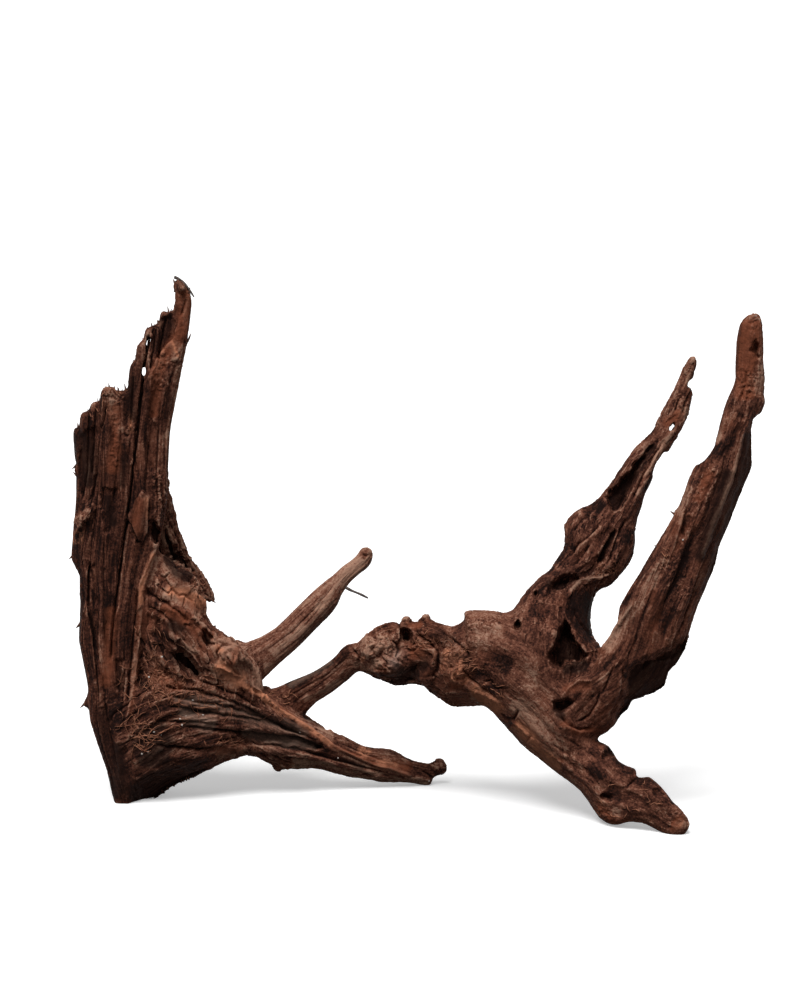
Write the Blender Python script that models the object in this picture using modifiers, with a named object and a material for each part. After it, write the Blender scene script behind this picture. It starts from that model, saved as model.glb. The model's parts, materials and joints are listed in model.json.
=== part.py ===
"""Driftwood: the weathered root of a tree, grown as one piece.

On the left a split slab of upright staves stands over a gnarled heart, from which a ribbed fan runs out
to a lower branch, with an upper and a middle branch behind it. A knotted neck leads on to the body on the
right, which carries a hollowed thin arm, a ribbed thick arm and a long foot.

The wood is drawn on a sheet, as seen by an eye that looks slightly down on it. Each limb is a loft through
hand-drawn stations: where its two edges show on the sheet, how far behind the sheet's plane its middle
lies, and half its thickness. The limbs are grown together into one skin, strands of grain are laid on it,
hollows are cut out, and the wood is cut level at the low points on which it rests.
"""

import math

import bmesh
import bpy
import numpy as np
from mathutils import Matrix, Vector

# Driving dimensions, in metres and degrees
OVERALL_WIDTH = 0.500
SIGHT_TILT = 12.0
SIGHT_DISTANCE = 2.89
SKIN_CELL = 0.0021
SOLE_BLOCK = 0.1
TRIANGLES = 11650

# The drawing sheet, in steps across from its left edge and down from its top edge
SHEET_WIDTH = 798
SHEET_HEIGHT = 1000
DRAWN_WIDTH = 692
STEP = OVERALL_WIDTH / DRAWN_WIDTH
EYE = SIGHT_DISTANCE / STEP
TILT_SIN = math.sin(math.radians(SIGHT_TILT))
TILT_COS = math.cos(math.radians(SIGHT_TILT))

# Where the wood stands on the sheet: the sole's level, and the middle of its box
SOLE_DOWN = 799.5
MIDDLE_ACROSS = 14.6
MIDDLE_BEHIND = -6.0


def carried(across, down, behind):
    """A sheet point carried along its line of sight until it is `behind` steps back, in steps."""
    side = np.asarray(across, float) - SHEET_WIDTH / 2
    rise = SHEET_HEIGHT / 2 - np.asarray(down, float)
    behind = np.asarray(behind, float)
    reach = (behind + EYE * TILT_COS) / (rise * TILT_SIN + EYE * TILT_COS)
    height = EYE * TILT_SIN + reach * (rise * TILT_COS - EYE * TILT_SIN)
    return np.stack(np.broadcast_arrays(side * reach, behind, height), axis=-1)


ORIGIN = np.array([MIDDLE_ACROSS, MIDDLE_BEHIND, carried(0, SOLE_DOWN, 0)[2]])


def place(across, down, behind):
    """World point, in metres, of a sheet point carried back to `behind`."""
    return (carried(across, down, behind) - ORIGIN) * STEP


# Limb stations: one edge (across, down), the other edge (across, down), middle behind, half depth
HEART = (
    (150, 556, 164, 556, 18, 14),
    (146, 578, 197, 580, 16, 24),
    (142, 600, 205, 601, 14, 30),
    (140, 620, 207, 619, 14, 34),
    (138, 638, 226, 635, 14, 36),
    (136, 656, 243, 651, 15, 37),
    (134, 676, 260, 670, 17, 36),
    (130, 698, 264, 690, 18, 34),
    (128, 722, 262, 712, 18, 30),
    (128, 745, 250, 740, 16, 24),
)
FAN = (
    (116, 700, 117, 808, 2, 26),
    (140, 682, 141, 808, 5, 31),
    (168, 668, 170, 787, 9, 35),
    (200, 664, 202, 772, 13, 34),
    (228, 670, 229, 760, 18, 31),
    (252, 686, 250, 755, 23, 27),
    (278, 703, 272, 764, 27, 23),
    (303, 719, 298, 769, 32, 19),
    (321, 729, 318, 768, 36, 16),
    (339, 735, 336, 773, 40, 14),
    (362, 745, 357, 778, 44, 13),
    (390, 750, 386, 782, 48, 11),
    (414, 761, 409, 783, 53, 10),
    (437, 765, 430, 787, 57, 8),
)
FIN = (
    (150, 430, 166, 440, 26, 9),
    (150, 455, 167, 460, 28, 11),
    (150, 480, 169, 482, 31, 12),
    (150, 508, 175, 510, 34, 13),
    (152, 532, 182, 535, 37, 13),
    (156, 554, 190, 556, 40, 12),
    (162, 569, 202, 571, 42, 11),
    (172, 583, 211, 586, 43, 9),
    (188, 597, 217, 603, 43, 5),
)
UPPER_BRANCH = (
    (214, 655, 246, 700, 34, 22),
    (238, 645, 263, 680, 42, 19),
    (255, 639, 277, 666, 50, 16),
    (275, 628, 296, 649, 60, 15),
    (297, 607, 317, 628, 72, 14),
    (319, 586, 337, 606, 84, 12),
    (331, 576, 343, 593, 91, 10),
    (341, 567, 350, 583, 97, 9),
    (352, 559, 361, 573, 103, 8),
    (359, 552, 369, 567, 107, 7),
    (364, 546, 373, 560, 110, 6),
)
MIDDLE_BRANCH = (
    (250, 684, 268, 740, 44, 20),
    (270, 689, 301, 719, 44, 15),
    (296, 679, 313, 705, 38, 13),
    (318, 669, 332, 692, 32, 12),
    (334, 657, 348, 680, 26, 11),
    (347, 645, 359, 671, 21, 12),
    (358, 642, 367, 673, 17, 13),
    (372, 640, 378, 672, 14, 14),
)
NECK = (
    (352, 650, 357, 668, 18, 9),
    (363, 638, 368, 674, 14, 18),
    (373, 630, 379, 679, 11, 23),
    (384, 624, 389, 684, 9, 25),
    (393, 622, 398, 686, 7, 25),
    (402, 626, 407, 684, 5, 24),
    (412, 622, 416, 684, 2, 25),
    (425, 621, 428, 689, -1, 28),
    (439, 623, 440, 698, -5, 31),
    (452, 626, 452, 706, -10, 34),
    (464, 622, 470, 706, -15, 37),
    (480, 614, 488, 706, -20, 40),
    (500, 618, 505, 712, -25, 40),
)
FOOT = (
    (464, 610, 474, 702, -16, 34),
    (494, 611, 487, 707, -24, 40),
    (528, 622, 504, 726, -32, 42),
    (558, 650, 527, 749, -40, 40),
    (582, 696, 551, 768, -48, 36),
    (593, 739, 570, 782, -57, 28),
    (607, 745, 580, 791, -66, 25),
    (614, 754, 590, 804, -74, 23),
    (622, 764, 602, 820, -82, 21),
    (635, 770, 614, 825, -90, 19),
    (648, 776, 629, 822, -97, 17),
    (661, 786, 644, 824, -104, 15),
    (674, 803, 659, 831, -111, 13),
    (685, 813, 672, 837, -117, 10),
    (691, 824, 684, 836, -120, 6),
)
THIN_ARM = (
    (506, 640, 598, 702, -34, 42),
    (512, 611, 604, 655, -22, 38),
    (520, 599, 595, 640, -11, 34),
    (535, 582, 590, 617, -2, 29),
    (553, 566, 597, 591, 7, 24),
    (564, 546, 612, 584, 13, 22),
    (564, 531, 628, 565, 17, 21),
    (569, 520, 634, 549, 21, 20),
    (577, 511, 635, 531, 25, 18),
    (591, 505, 639, 515, 29, 17),
    (604, 491, 647, 490, 33, 16),
    (618, 472, 655, 472, 37, 14),
    (631, 453, 663, 461, 41, 13),
    (642, 441, 673, 444, 45, 11),
    (653, 429, 683, 427, 48, 10),
    (660, 415, 690, 411, 51, 9),
    (669, 398, 693, 392, 54, 8),
    (678, 380, 691, 384, 57, 6),
    (684, 366, 697, 369, 59, 5),
    (690, 355, 698, 358, 60, 4),
)
THICK_ARM = (
    (552, 716, 588, 741, -56, 20),
    (566, 692, 612, 728, -58, 27),
    (582, 677, 623, 713, -59, 31),
    (597, 662, 648, 697, -60, 33),
    (603, 650, 668, 682, -60, 34),
    (613, 630, 682, 656, -60, 33),
    (620, 606, 694, 616, -58, 31),
    (629, 590, 706, 586, -57, 29),
    (640, 573, 715, 562, -56, 27),
    (650, 555, 719, 545, -54, 26),
    (661, 536, 727, 527, -52, 25),
    (671, 519, 735, 507, -50, 24),
    (681, 501, 743, 487, -48, 23),
    (687, 484, 750, 468, -46, 22),
    (695, 466, 752, 450, -44, 20),
    (707, 455, 752, 434, -42, 19),
    (715, 440, 753, 420, -40, 17),
    (720, 420, 761, 413, -38, 16),
    (726, 402, 764, 396, -36, 14),
    (735, 382, 764, 380, -34, 13),
    (736, 360, 763, 360, -32, 12),
    (738, 335, 763, 336, -30, 10),
    (743, 319, 762, 320, -29, 8),
    (751, 313, 759, 313, -28, 5),
)

# Each limb with its ribs: how many run round it, their height in steps, how many turns they make
# along it, and how square its section is
LIMBS = {
    "heart": (HEART, 7, 3.4, 0.08, 2.3),
    "fan": (FAN, 11, 3.0, 0.05, 2.6),
    "fin": (FIN, 6, 2.4, 0.06, 2.0),
    "upper_branch": (UPPER_BRANCH, 5, 1.2, 0.05, 2.2),
    "middle_branch": (MIDDLE_BRANCH, 5, 1.4, 0.06, 2.4),
    "neck": (NECK, 6, 4.0, 0.19, 2.2),
    "foot": (FOOT, 6, 3.0, 0.11, 2.4),
    "thin_arm": (THIN_ARM, 6, 3.0, 0.08, 2.3),
    "thick_arm": (THICK_ARM, 7, 3.8, 0.06, 2.4),
}
POINTS_AROUND = 36
STATIONS_ALONG = 60
RIB_MEAN = 0.7
RIB_FINE = 0.5
RIBS_MORE = 3
RIB_WAIST = 16.0
RIB_KNOTS = 0.4
KNOTS_ALONG = 4.5
EDGE_CALM = 0.75

# The slab: its two edges down the sheet, the seams between its staves as shares of its width,
# and the level of each stave's broken top
SLAB_DOWN = (270, 285, 300, 345, 390, 430, 466, 500, 530, 558, 600, 640, 685, 720, 745, 770, 806)
SLAB_LEFT = (148, 106, 66, 68, 70, 73, 76, 76, 73, 71, 81, 79, 88, 90, 98, 107, 115)
SLAB_RIGHT = (180, 187, 192, 187, 178, 170, 168, 167, 162, 156, 144, 140, 137, 136, 132, 135, 144)
SEAMS = (0.0, 0.09, 0.19, 0.29, 0.42, 0.54, 0.59, 0.64, 0.685, 0.76, 0.85, 1.0)
STAVE_TOPS = (427, 412, 402, 387, 391, 362, 342, 327, 324, 310, 279)
STAVE_FRONTS = (4, 0, 5, -2, 1, 5, 1, 4, -3, 2, -3)
SLAB_BEHIND = 4.0
SLAB_CURL = 18.0
SLAB_MERGE_DOWN = 640.0
STAVE_HALF_TOP = 7.0
STAVE_HALF_LOW = 20.0
STAVE_LAP = 0.10
STAVE_TOP_STATIONS = (0, 3, 12)
STAVE_TOP_PINCH = (0.6, 0.9)
STAVE_STATIONS = 25
STAVE_POINTS = 16
STAVE_SQUARENESS = 2.8

# Spikes and nubs: root (across, down), tip (across, down), behind, root radius and tip radius
SPIKES = {
    "slab_hook": (183, 292, 176, 277, 1, 4.5, 2.2),
    "side_nub": (92, 694, 83, 707, 8, 4.0, 2.4),
    "left_nub": (84, 476, 74, 469, 10, 5.0, 2.8),
    "fan_nub": (300, 757, 274, 767, 24, 9.0, 6.0),
    "neck_horn": (410, 640, 404, 617, 0, 7.0, 3.5),
    "neck_peak": (428, 640, 424, 616, -4, 7.0, 3.5),
    "body_hump": (486, 636, 471, 612, -22, 14.0, 5.0),
    "body_crag": (512, 634, 505, 613, -22, 13.0, 6.0),
    "foot_spike": (620, 786, 632, 762, -88, 8.0, 3.0),
    "arm_hook": (684, 520, 673, 510, -48, 5.0, 2.2),
    "arm_nub": (668, 555, 656, 546, -44, 5.0, 2.2),
    "arm_bump": (640, 612, 627, 598, -46, 12.0, 6.0),
    "fin_tip": (203, 588, 215, 602, 43, 5.0, 2.2),
}

# Thin twigs that keep their true width: root (across, down), tip (across, down), behind, two radii
TWIGS = {
    "twig": (336, 583, 368, 598, 90, 1.7, 1.3),
    "slab_sliver": (176, 280, 195, 297, 1, 1.3, 1.3),
}
SPIKE_SIDES = 10
TWIG_SIDES = 6

# Round knots: middle (across, down), behind, radius
KNOTS = {
    "heart_burl": (230, 657, -9, 12),
    "lower_tip_burl": (439, 767, 57, 9),
    "upper_tip_knob": (366, 554, 109, 8),
    "neck_pale_knot": (391, 662, -11, 13),
    "neck_left_knot": (374, 648, 0, 14),
    "arm_top_knob": (754, 401, -38, 11),
    "thin_arm_hip": (576, 527, 20, 12),
    "foot_toe": (678, 826, -117, 9),
}

# Strands: ribs of grain that lie on the skin, as points (across, down) on the side that faces the eye,
# each strand with its radius in steps
STRANDS = (
    (4.5, ((202, 654), (219, 667), (240, 685), (257, 695), (280, 712), (303, 728), (325, 743), (345, 753), (367, 760))),
    (4.0, ((363, 757), (385, 765), (402, 771), (417, 777))),
    (4.5, ((158, 678), (190, 684), (220, 694), (250, 706), (280, 717), (305, 730), (328, 746))),
    (4.0, ((150, 694), (185, 702), (220, 709), (255, 717), (285, 724), (315, 737))),
    (4.5, ((148, 713), (180, 717), (215, 723), (250, 727), (285, 731), (320, 742), (350, 757))),
    (5.0, ((140, 735), (175, 739), (210, 743), (245, 747), (285, 751), (325, 759), (365, 768), (402, 774))),
    (4.0, ((130, 753), (165, 757), (200, 755), (240, 750))),
    (4.0, ((130, 772), (155, 772), (185, 764), (212, 756))),
    (4.5, ((157, 549), (146, 572), (141, 600), (142, 620), (138, 650), (135, 680), (132, 706), (126, 732))),
    (5.0, ((142, 494), (140, 515), (137, 540))),
    (5.0, ((95, 506), (86, 516), (79, 532), (78, 556))),
    (3.5, ((121, 604), (116, 624), (112, 645))),
    (4.0, ((92, 560), (91, 600), (94, 650), (100, 700), (112, 745))),
    (4.0, ((112, 655), (112, 690), (116, 725), (120, 765))),
    (4.0, ((172, 345), (166, 380), (160, 420), (158, 460))),
    (6.0, ((160, 588), (175, 583), (190, 589), (200, 601), (203, 612))),
    (6.0, ((152, 606), (168, 607), (185, 613), (198, 625), (209, 640), (222, 650))),
    (5.5, ((150, 631), (165, 629), (178, 637), (190, 647), (204, 657), (214, 665))),
    (5.0, ((148, 653), (160, 656), (171, 666), (184, 675), (206, 680))),
    (4.0, ((221, 645), (236, 644), (243, 655), (239, 667), (226, 669))),
    (5.0, ((212, 642), (226, 642), (239, 652), (250, 666), (257, 680))),
    (4.0, ((549, 591), (556, 575), (572, 570), (583, 576))),
    (4.0, ((567, 597), (578, 584), (595, 578), (612, 575))),
    (5.0, ((566, 595), (565, 612), (573, 630), (585, 647), (600, 653))),
    (6.0, ((560, 700), (574, 685), (594, 680), (606, 672))),
    (4.0, ((505, 713), (530, 736), (556, 756), (580, 778))),
    (5.0, ((554, 718), (567, 727), (588, 733))),
    (7.0, ((596, 677), (604, 650), (618, 628), (636, 602), (654, 572), (670, 545), (686, 512), (699, 480))),
    (6.0, ((750, 400), (744, 428), (737, 466), (723, 500), (707, 542), (694, 580), (680, 616))),
    (5.0, ((640, 642), (652, 612), (668, 582), (682, 549), (699, 511), (713, 479), (722, 450))),
    (5.0, ((655, 662), (668, 632), (684, 598), (697, 562), (711, 527))),
    (4.0, ((604, 508), (617, 488), (631, 467), (646, 447))),
    (4.5, ((624, 517), (633, 500), (643, 479), (653, 459), (664, 441))),
    (5.0, ((573, 546), (586, 541), (599, 531), (611, 520))),
    (4.0, ((568, 575), (585, 561), (600, 549), (613, 531))),
    (4.5, ((600, 573), (613, 560), (623, 545), (627, 530))),
    (4.0, ((364, 652), (378, 643), (392, 641), (400, 650))),
    (5.0, ((367, 665), (384, 673), (400, 670))),
    (5.0, ((412, 630), (430, 633), (446, 641), (455, 657))),
    (4.0, ((444, 657), (450, 673), (462, 685), (480, 691), (498, 702))),
    (5.0, ((421, 680), (432, 669), (440, 651))),
    (5.0, ((562, 753), (585, 766), (610, 779), (640, 793), (666, 811))),
    (4.5, ((585, 782), (604, 799), (628, 807), (653, 818))),
    (5.0, ((250, 655), (280, 640), (300, 620), (320, 600), (341, 577))),
    (4.0, ((286, 696), (312, 684), (332, 672), (350, 657))),
)
STRAND_SIDES = 8
STRAND_RINGS = 3
STRAND_SINK = 0.35
STRAND_ENDS = (0.14, 0.93)
BACK_SHIFT = (7, -5)

# Hollows: middle (across, down), half width, half height, half depth, lean in degrees,
# and how far the middle is sunk below the skin; the window goes right through. Each has lobes, whose
# height is a share of its size.
HOLLOWS = {
    "cave": (564, 642, 12, 28, 28, 20, 3),
    "cave_side": (556, 653, 11, 15, 26, 10, 3),
    "cave_floor": (579, 667, 10, 7, 18, 0, 2),
    "lip_pocket": (561, 708, 8, 10, 16, 0, 1),
    "scoop": (564, 583, 20, 10, 15, -26, 0),
    "long_hollow": (631, 478, 6, 36, 11, 30, 0),
    "long_hollow_foot": (618, 499, 9, 15, 13, 35, 1),
    "arm_groove": (607, 546, 4, 19, 8, 28, 0),
    "fin_recess": (184, 571, 13, 17, 22, -35, 2),
    "dark_hole": (153, 531, 4, 12, 14, 0, 0),
    "heart_hollow": (188, 664, 18, 9, 17, 30, 1),
    "heart_pocket": (206, 640, 9, 6, 11, 30, 0),
    "neck_hole": (406, 633, 7, 10, 12, 20, 0),
    "neck_arch": (411, 674, 13, 10, 15, 0, 0),
    "body_hole": (517, 625, 4, 8, 10, 20, 0),
    "body_pit": (536, 593, 4, 5, 7, 0, 0),
    "fan_groove": (280, 738, 42, 6, 8, 8, 0),
    "arm_fissure": (722, 520, 4, 36, 9, 22, 0),
    "arm_hole": (756, 351, 4, 9, 8, 0, 0),
    "foot_pit": (606, 797, 6, 5, 7, 0, 0),
    "tip_notch": (693, 386, 4, 4, 12, 30, 0),
    "arm_window": (671, 427, 4.5, 8, 30, 35, 0),
}

# Hollows on the far side, given in the same way
FAR_HOLLOWS = {
    "far_heart": (196, 652, 16, 26, 20, 25, 2),
    "far_slab": (112, 640, 9, 52, 9, 0, 0),
    "far_body": (540, 668, 24, 13, 16, -30, 0),
    "far_thick_arm": (676, 588, 7, 46, 9, 24, 0),
    "far_thin_arm": (604, 545, 7, 22, 9, 30, 0),
}
HOLLOW_RIPPLE = 0.13
SIGHT_START = 400.0


def smooth_rows(rows, count):
    """Stations spread evenly along a smooth curve through the drawn ones: a Catmull-Rom spline whose
    parameter is the distance that the middle travels."""
    rows = np.array(rows, float)
    middle = (rows[:, 0:2] + rows[:, 2:4]) / 2
    travel = np.hypot(*np.diff(middle, axis=0).T)
    ends = np.concatenate([[0], np.cumsum(travel)])
    slopes = np.gradient(rows, ends, axis=0)
    where = np.linspace(0, ends[-1], count)
    span = np.clip(np.searchsorted(ends, where, side="right") - 1, 0, len(ends) - 2)
    length = (ends[span + 1] - ends[span])[:, None]
    s = (where - ends[span])[:, None] / length
    leaving = (1 + 2 * s) * (1 - s) ** 2 * rows[span] + s * (1 - s) ** 2 * length * slopes[span]
    arriving = s * s * (3 - 2 * s) * rows[span + 1] - s * s * (1 - s) * length * slopes[span + 1]
    return leaving + arriving


def section(around, squareness):
    """Angle, and cosine and sine of a superellipse: round for squareness 2, squarer above it."""
    angle = np.linspace(0, 2 * math.pi, around, endpoint=False)
    c = np.cos(angle)
    s = np.sin(angle)
    bend = 2 / squareness
    return angle, np.sign(c) * np.abs(c) ** bend, np.sign(s) * np.abs(s) ** bend


def rib_relief(angle, run, ribs, height, turns, phase):
    """Height of the ribs over the section: a rectified sine of the angle that turns as it runs along,
    a finer one that turns the other way, and slow knots."""
    turned = 2 * math.pi * turns * run
    coarse = np.sin(ribs * (angle + turned) + phase)
    fine = RIB_FINE * np.sin((ribs + RIBS_MORE) * angle - 2 * turned + 2 * phase)
    knots = RIB_KNOTS * np.sin(2 * math.pi * KNOTS_ALONG * run + 2 * angle + phase)
    return height * (np.abs(coarse + fine) - RIB_MEAN + knots)


def ribbed_grid(rows, ribs, height, turns, squareness, phase):
    """Points of a ribbed loft, one ring a station. The ring runs from edge to edge of the limb in the
    sheet's plane and by its half depth across it. The ribs fade at its edges, and where it is thin."""
    rows = smooth_rows(rows, STATIONS_ALONG)
    angle, wide, deep = section(POINTS_AROUND, squareness)
    run = np.linspace(0, 1, STATIONS_ALONG)[:, None]
    middle = (rows[:, 0:2] + rows[:, 2:4]) / 2
    half = (rows[:, 2:4] - rows[:, 0:2]) / 2
    width = np.hypot(half[:, 0], half[:, 1])[:, None]
    depth = rows[:, 5][:, None]
    stoutness = np.minimum(1.0, np.minimum(width, depth) / RIB_WAIST)
    lift = rib_relief(angle, run, ribs, height, turns, phase) * stoutness * (1 - EDGE_CALM * wide**4)
    wide = wide * (1 + lift / width)
    deep = deep * (1 + lift / depth)
    across = middle[:, 0:1] + half[:, 0:1] * wide
    down = middle[:, 1:2] + half[:, 1:2] * wide
    return place(across, down, rows[:, 4:5] + depth * deep)


def add_closed_grid(bm, grid):
    """Adds a tube of rings to a mesh and closes each end with a fan round the end ring's middle."""
    rings = []
    for ring in grid:
        rings.append([bm.verts.new(point) for point in ring])
    count = len(rings[0])
    for low, high in zip(rings, rings[1:]):
        for k in range(count):
            after = (k + 1) % count
            bm.faces.new((low[k], low[after], high[after], high[k]))
    for ring, points in ((rings[0][::-1], grid[0]), (rings[-1], grid[-1])):
        pole = bm.verts.new(points.mean(axis=0))
        for k in range(count):
            bm.faces.new((ring[k], ring[(k + 1) % count], pole))


def stave_grid(index):
    """Points of one stave of the slab: a long board between two seams, thin at its broken top and thick
    at the sole, set forwards or back of its neighbours, on the slab's curl."""
    top = STAVE_TOPS[index]
    low = SLAB_DOWN[-1]
    start = top + np.array(STAVE_TOP_STATIONS, float)
    down = np.concatenate([start, np.linspace(start[-1], low, STAVE_STATIONS)[1:]])
    left = np.interp(down, SLAB_DOWN, SLAB_LEFT)
    right = np.interp(down, SLAB_DOWN, SLAB_RIGHT)
    lap = STAVE_LAP * (SEAMS[index + 1] - SEAMS[index])
    first = left + max(SEAMS[index] - lap, 0.0) * (right - left)
    last = left + min(SEAMS[index + 1] + lap, 1.0) * (right - left)
    share = (down - SLAB_DOWN[0]) / (low - SLAB_DOWN[0])
    pinch = np.ones_like(down)
    pinch[0:2] = STAVE_TOP_PINCH
    half = (STAVE_HALF_TOP + (STAVE_HALF_LOW - STAVE_HALF_TOP) * share) * pinch
    apart = np.clip((low - down) / (low - SLAB_MERGE_DOWN), 0, 1)
    curl = (SEAMS[index] + SEAMS[index + 1] - 1) ** 2
    behind = SLAB_BEHIND + STAVE_FRONTS[index] * apart + SLAB_CURL * curl * (1 - share)
    angle, wide, deep = section(STAVE_POINTS, STAVE_SQUARENESS)
    across = ((first + last) / 2)[:, None] + ((last - first) / 2 * pinch)[:, None] * wide
    return place(across, down[:, None], behind[:, None] + half[:, None] * deep)


def add_spike(bm, sides, root_across, root_down, tip_across, tip_down, behind, root_radius, tip_radius):
    """A short blunt spike from a root inside the wood to a tip outside it."""
    root = Vector(place(root_across, root_down, behind))
    tip = Vector(place(tip_across, tip_down, behind))
    axis = tip - root
    turn = axis.to_track_quat("Z", "Y").to_matrix().to_4x4()
    bmesh.ops.create_cone(
        bm,
        cap_ends=True,
        segments=sides,
        radius1=root_radius * STEP,
        radius2=tip_radius * STEP,
        depth=axis.length,
        matrix=Matrix.Translation((root + tip) / 2) @ turn,
    )


def wood_limbs():
    """One mesh that holds every limb, stave, spike and knot as a closed shell of its own."""
    bm = bmesh.new()
    for number, (rows, ribs, height, turns, squareness) in enumerate(LIMBS.values()):
        add_closed_grid(bm, ribbed_grid(rows, ribs, height, turns, squareness, phase=number))
    for index in range(len(STAVE_TOPS)):
        add_closed_grid(bm, stave_grid(index))
    for spike in SPIKES.values():
        add_spike(bm, SPIKE_SIDES, *spike)
    for across, down, behind, radius in KNOTS.values():
        spot = Matrix.Translation(Vector(place(across, down, behind)))
        bmesh.ops.create_icosphere(bm, subdivisions=2, radius=radius * STEP, matrix=spot)
    bmesh.ops.recalc_face_normals(bm, faces=bm.faces)
    mesh = bpy.data.meshes.new("driftwood")
    bm.to_mesh(mesh)
    bm.free()
    return mesh


def driftwood_material():
    """Dark red-brown weathered wood, dull and dry."""
    material = bpy.data.materials.new("dark_wood")
    material.use_nodes = True
    shader = material.node_tree.nodes["Principled BSDF"]
    shader.inputs["Base Color"].default_value = (0.075, 0.034, 0.022, 1.0)
    shader.inputs["Roughness"].default_value = 0.78
    shader.inputs["Metallic"].default_value = 0.0
    return material


def collection(name):
    """A new collection in the scene."""
    made = bpy.data.collections.new(name)
    bpy.context.scene.collection.children.link(made)
    return made


def applied(wood):
    """The wood's mesh with its modifiers worked in, put back on the object without them."""
    graph = bpy.context.evaluated_depsgraph_get()
    mesh = bpy.data.meshes.new_from_object(wood.evaluated_get(graph))
    wood.modifiers.clear()
    wood.data = mesh
    return mesh


def sight_hit(wood, across, down, from_back=False):
    """Where the line of sight through a sheet point first meets the wood, and its direction."""
    near = Vector(place(across, down, -SIGHT_START))
    far = Vector(place(across, down, SIGHT_START))
    if from_back:
        near, far = far, near
    sight = (far - near).normalized()
    found, spot, _, _ = wood.ray_cast(near, sight)
    return (spot if found else None), sight


def strand_grid(line, radius):
    """Points of a tube round a line of at least three spots, thinner towards both ends: its radius is
    the square root of a half sine along it."""
    stations = np.linspace(0, len(line) - 1, STRAND_RINGS * len(line))
    middle = np.stack([np.interp(stations, np.arange(len(line)), line[:, k]) for k in range(3)], axis=1)
    middle[1:-1] = (middle[:-2] + 2 * middle[1:-1] + middle[2:]) / 4
    along = np.gradient(middle, axis=0)
    along /= np.linalg.norm(along, axis=1)[:, None]
    side = np.cross(along, (0.0, TILT_COS, -TILT_SIN))
    side /= np.linalg.norm(side, axis=1)[:, None]
    out = np.cross(side, along)
    angle = np.linspace(0, 2 * math.pi, STRAND_SIDES, endpoint=False)
    taper = np.sin(math.pi * np.linspace(*STRAND_ENDS, len(middle))) ** 0.5
    ring = side[:, None] * np.cos(angle)[:, None] + out[:, None] * np.sin(angle)[:, None]
    return middle[:, None] + (radius * STEP * taper)[:, None, None] * ring


def add_strand(bm, wood, radius, points, from_back):
    """A rib of grain: a tapering tube whose middle runs just under the skin along a line of sheet points."""
    shift = BACK_SHIFT if from_back else (0, 0)
    line = []
    for across, down in points:
        spot, sight = sight_hit(wood, across + shift[0], down + shift[1], from_back)
        if spot is not None:
            line.append(tuple(spot + sight * radius * STRAND_SINK * STEP))
    if len(line) > 2:
        add_closed_grid(bm, strand_grid(np.array(line), radius))


def add_strands(wood):
    """Lays the strands on both sides of the wood, the far ones a little shifted, and joins them to its mesh."""
    bm = bmesh.new()
    for radius, points in STRANDS:
        add_strand(bm, wood, radius, points, from_back=False)
        add_strand(bm, wood, radius, points, from_back=True)
    bmesh.ops.recalc_face_normals(bm, faces=bm.faces)
    bm.from_mesh(wood.data)
    bm.to_mesh(wood.data)
    bm.free()


def keep_largest_shell(wood):
    """Drops loose scraps and fills sealed hollows: only the largest connected shell is kept."""
    bm = bmesh.new()
    bm.from_mesh(wood.data)
    unseen = set(bm.verts)
    shells = []
    while unseen:
        shell = {unseen.pop()}
        edge = list(shell)
        while edge:
            vertex = edge.pop()
            for link in vertex.link_edges:
                other = link.other_vert(vertex)
                if other in unseen:
                    unseen.discard(other)
                    shell.add(other)
                    edge.append(other)
        shells.append(shell)
    shells.sort(key=len)
    for shell in shells[:-1]:
        bmesh.ops.delete(bm, geom=list(shell), context="VERTS")
    bm.to_mesh(wood.data)
    bm.free()


def fuse(wood, ease_times):
    """Grows the closed shells of the wood's mesh into one skin, and eases its creases."""
    skin = wood.modifiers.new("skin", "REMESH")
    skin.mode = "VOXEL"
    skin.voxel_size = SKIN_CELL
    ease = wood.modifiers.new("ease", "SMOOTH")
    ease.factor = 0.5
    ease.iterations = ease_times
    applied(wood)


def add_twigs(wood, holder):
    """Joins the thin twigs to the finished skin."""
    bm = bmesh.new()
    for twig in TWIGS.values():
        add_spike(bm, TWIG_SIDES, *twig)
    mesh = bpy.data.meshes.new("twigs")
    bm.to_mesh(mesh)
    bm.free()
    twigs = bpy.data.objects.new("twigs", mesh)
    holder.objects.link(twigs)
    twigs.hide_render = True
    twigs.display_type = "WIRE"
    join = wood.modifiers.new("twigs", "BOOLEAN")
    join.operation = "UNION"
    join.solver = "EXACT"
    join.object = twigs


def add_hollow(wood, cutters, name, hollow, from_back):
    """A lobed egg-shaped cutter set into the skin where the line of sight meets it. The lobes are a sum
    of two sines of the angle round the line of sight."""
    across, down, half_wide, half_high, half_deep, lean, sink = hollow
    spot, sight = sight_hit(wood, across, down, from_back)
    if spot is None:
        return
    side = Vector((1.0, 0.0, 0.0))
    frame = Matrix((side, sight.cross(side), sight)).transposed().to_4x4()
    turn = Matrix.Rotation(math.radians(lean), 4, sight)
    size = Matrix.Diagonal((half_wide * STEP, half_high * STEP, half_deep * STEP, 1.0))
    bm = bmesh.new()
    bmesh.ops.create_icosphere(bm, subdivisions=3, radius=1.0)
    for vertex in bm.verts:
        angle = math.atan2(vertex.co.y, vertex.co.x)
        vertex.co *= 1 + HOLLOW_RIPPLE * (math.sin(3 * angle + across) + math.sin(5 * angle + down))
    bm.transform(Matrix.Translation(spot + sight * sink * STEP) @ turn @ frame @ size)
    mesh = bpy.data.meshes.new(name)
    bm.to_mesh(mesh)
    bm.free()
    cutter = bpy.data.objects.new(name, mesh)
    cutters.objects.link(cutter)
    cutter.hide_render = True
    cutter.display_type = "WIRE"


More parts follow.
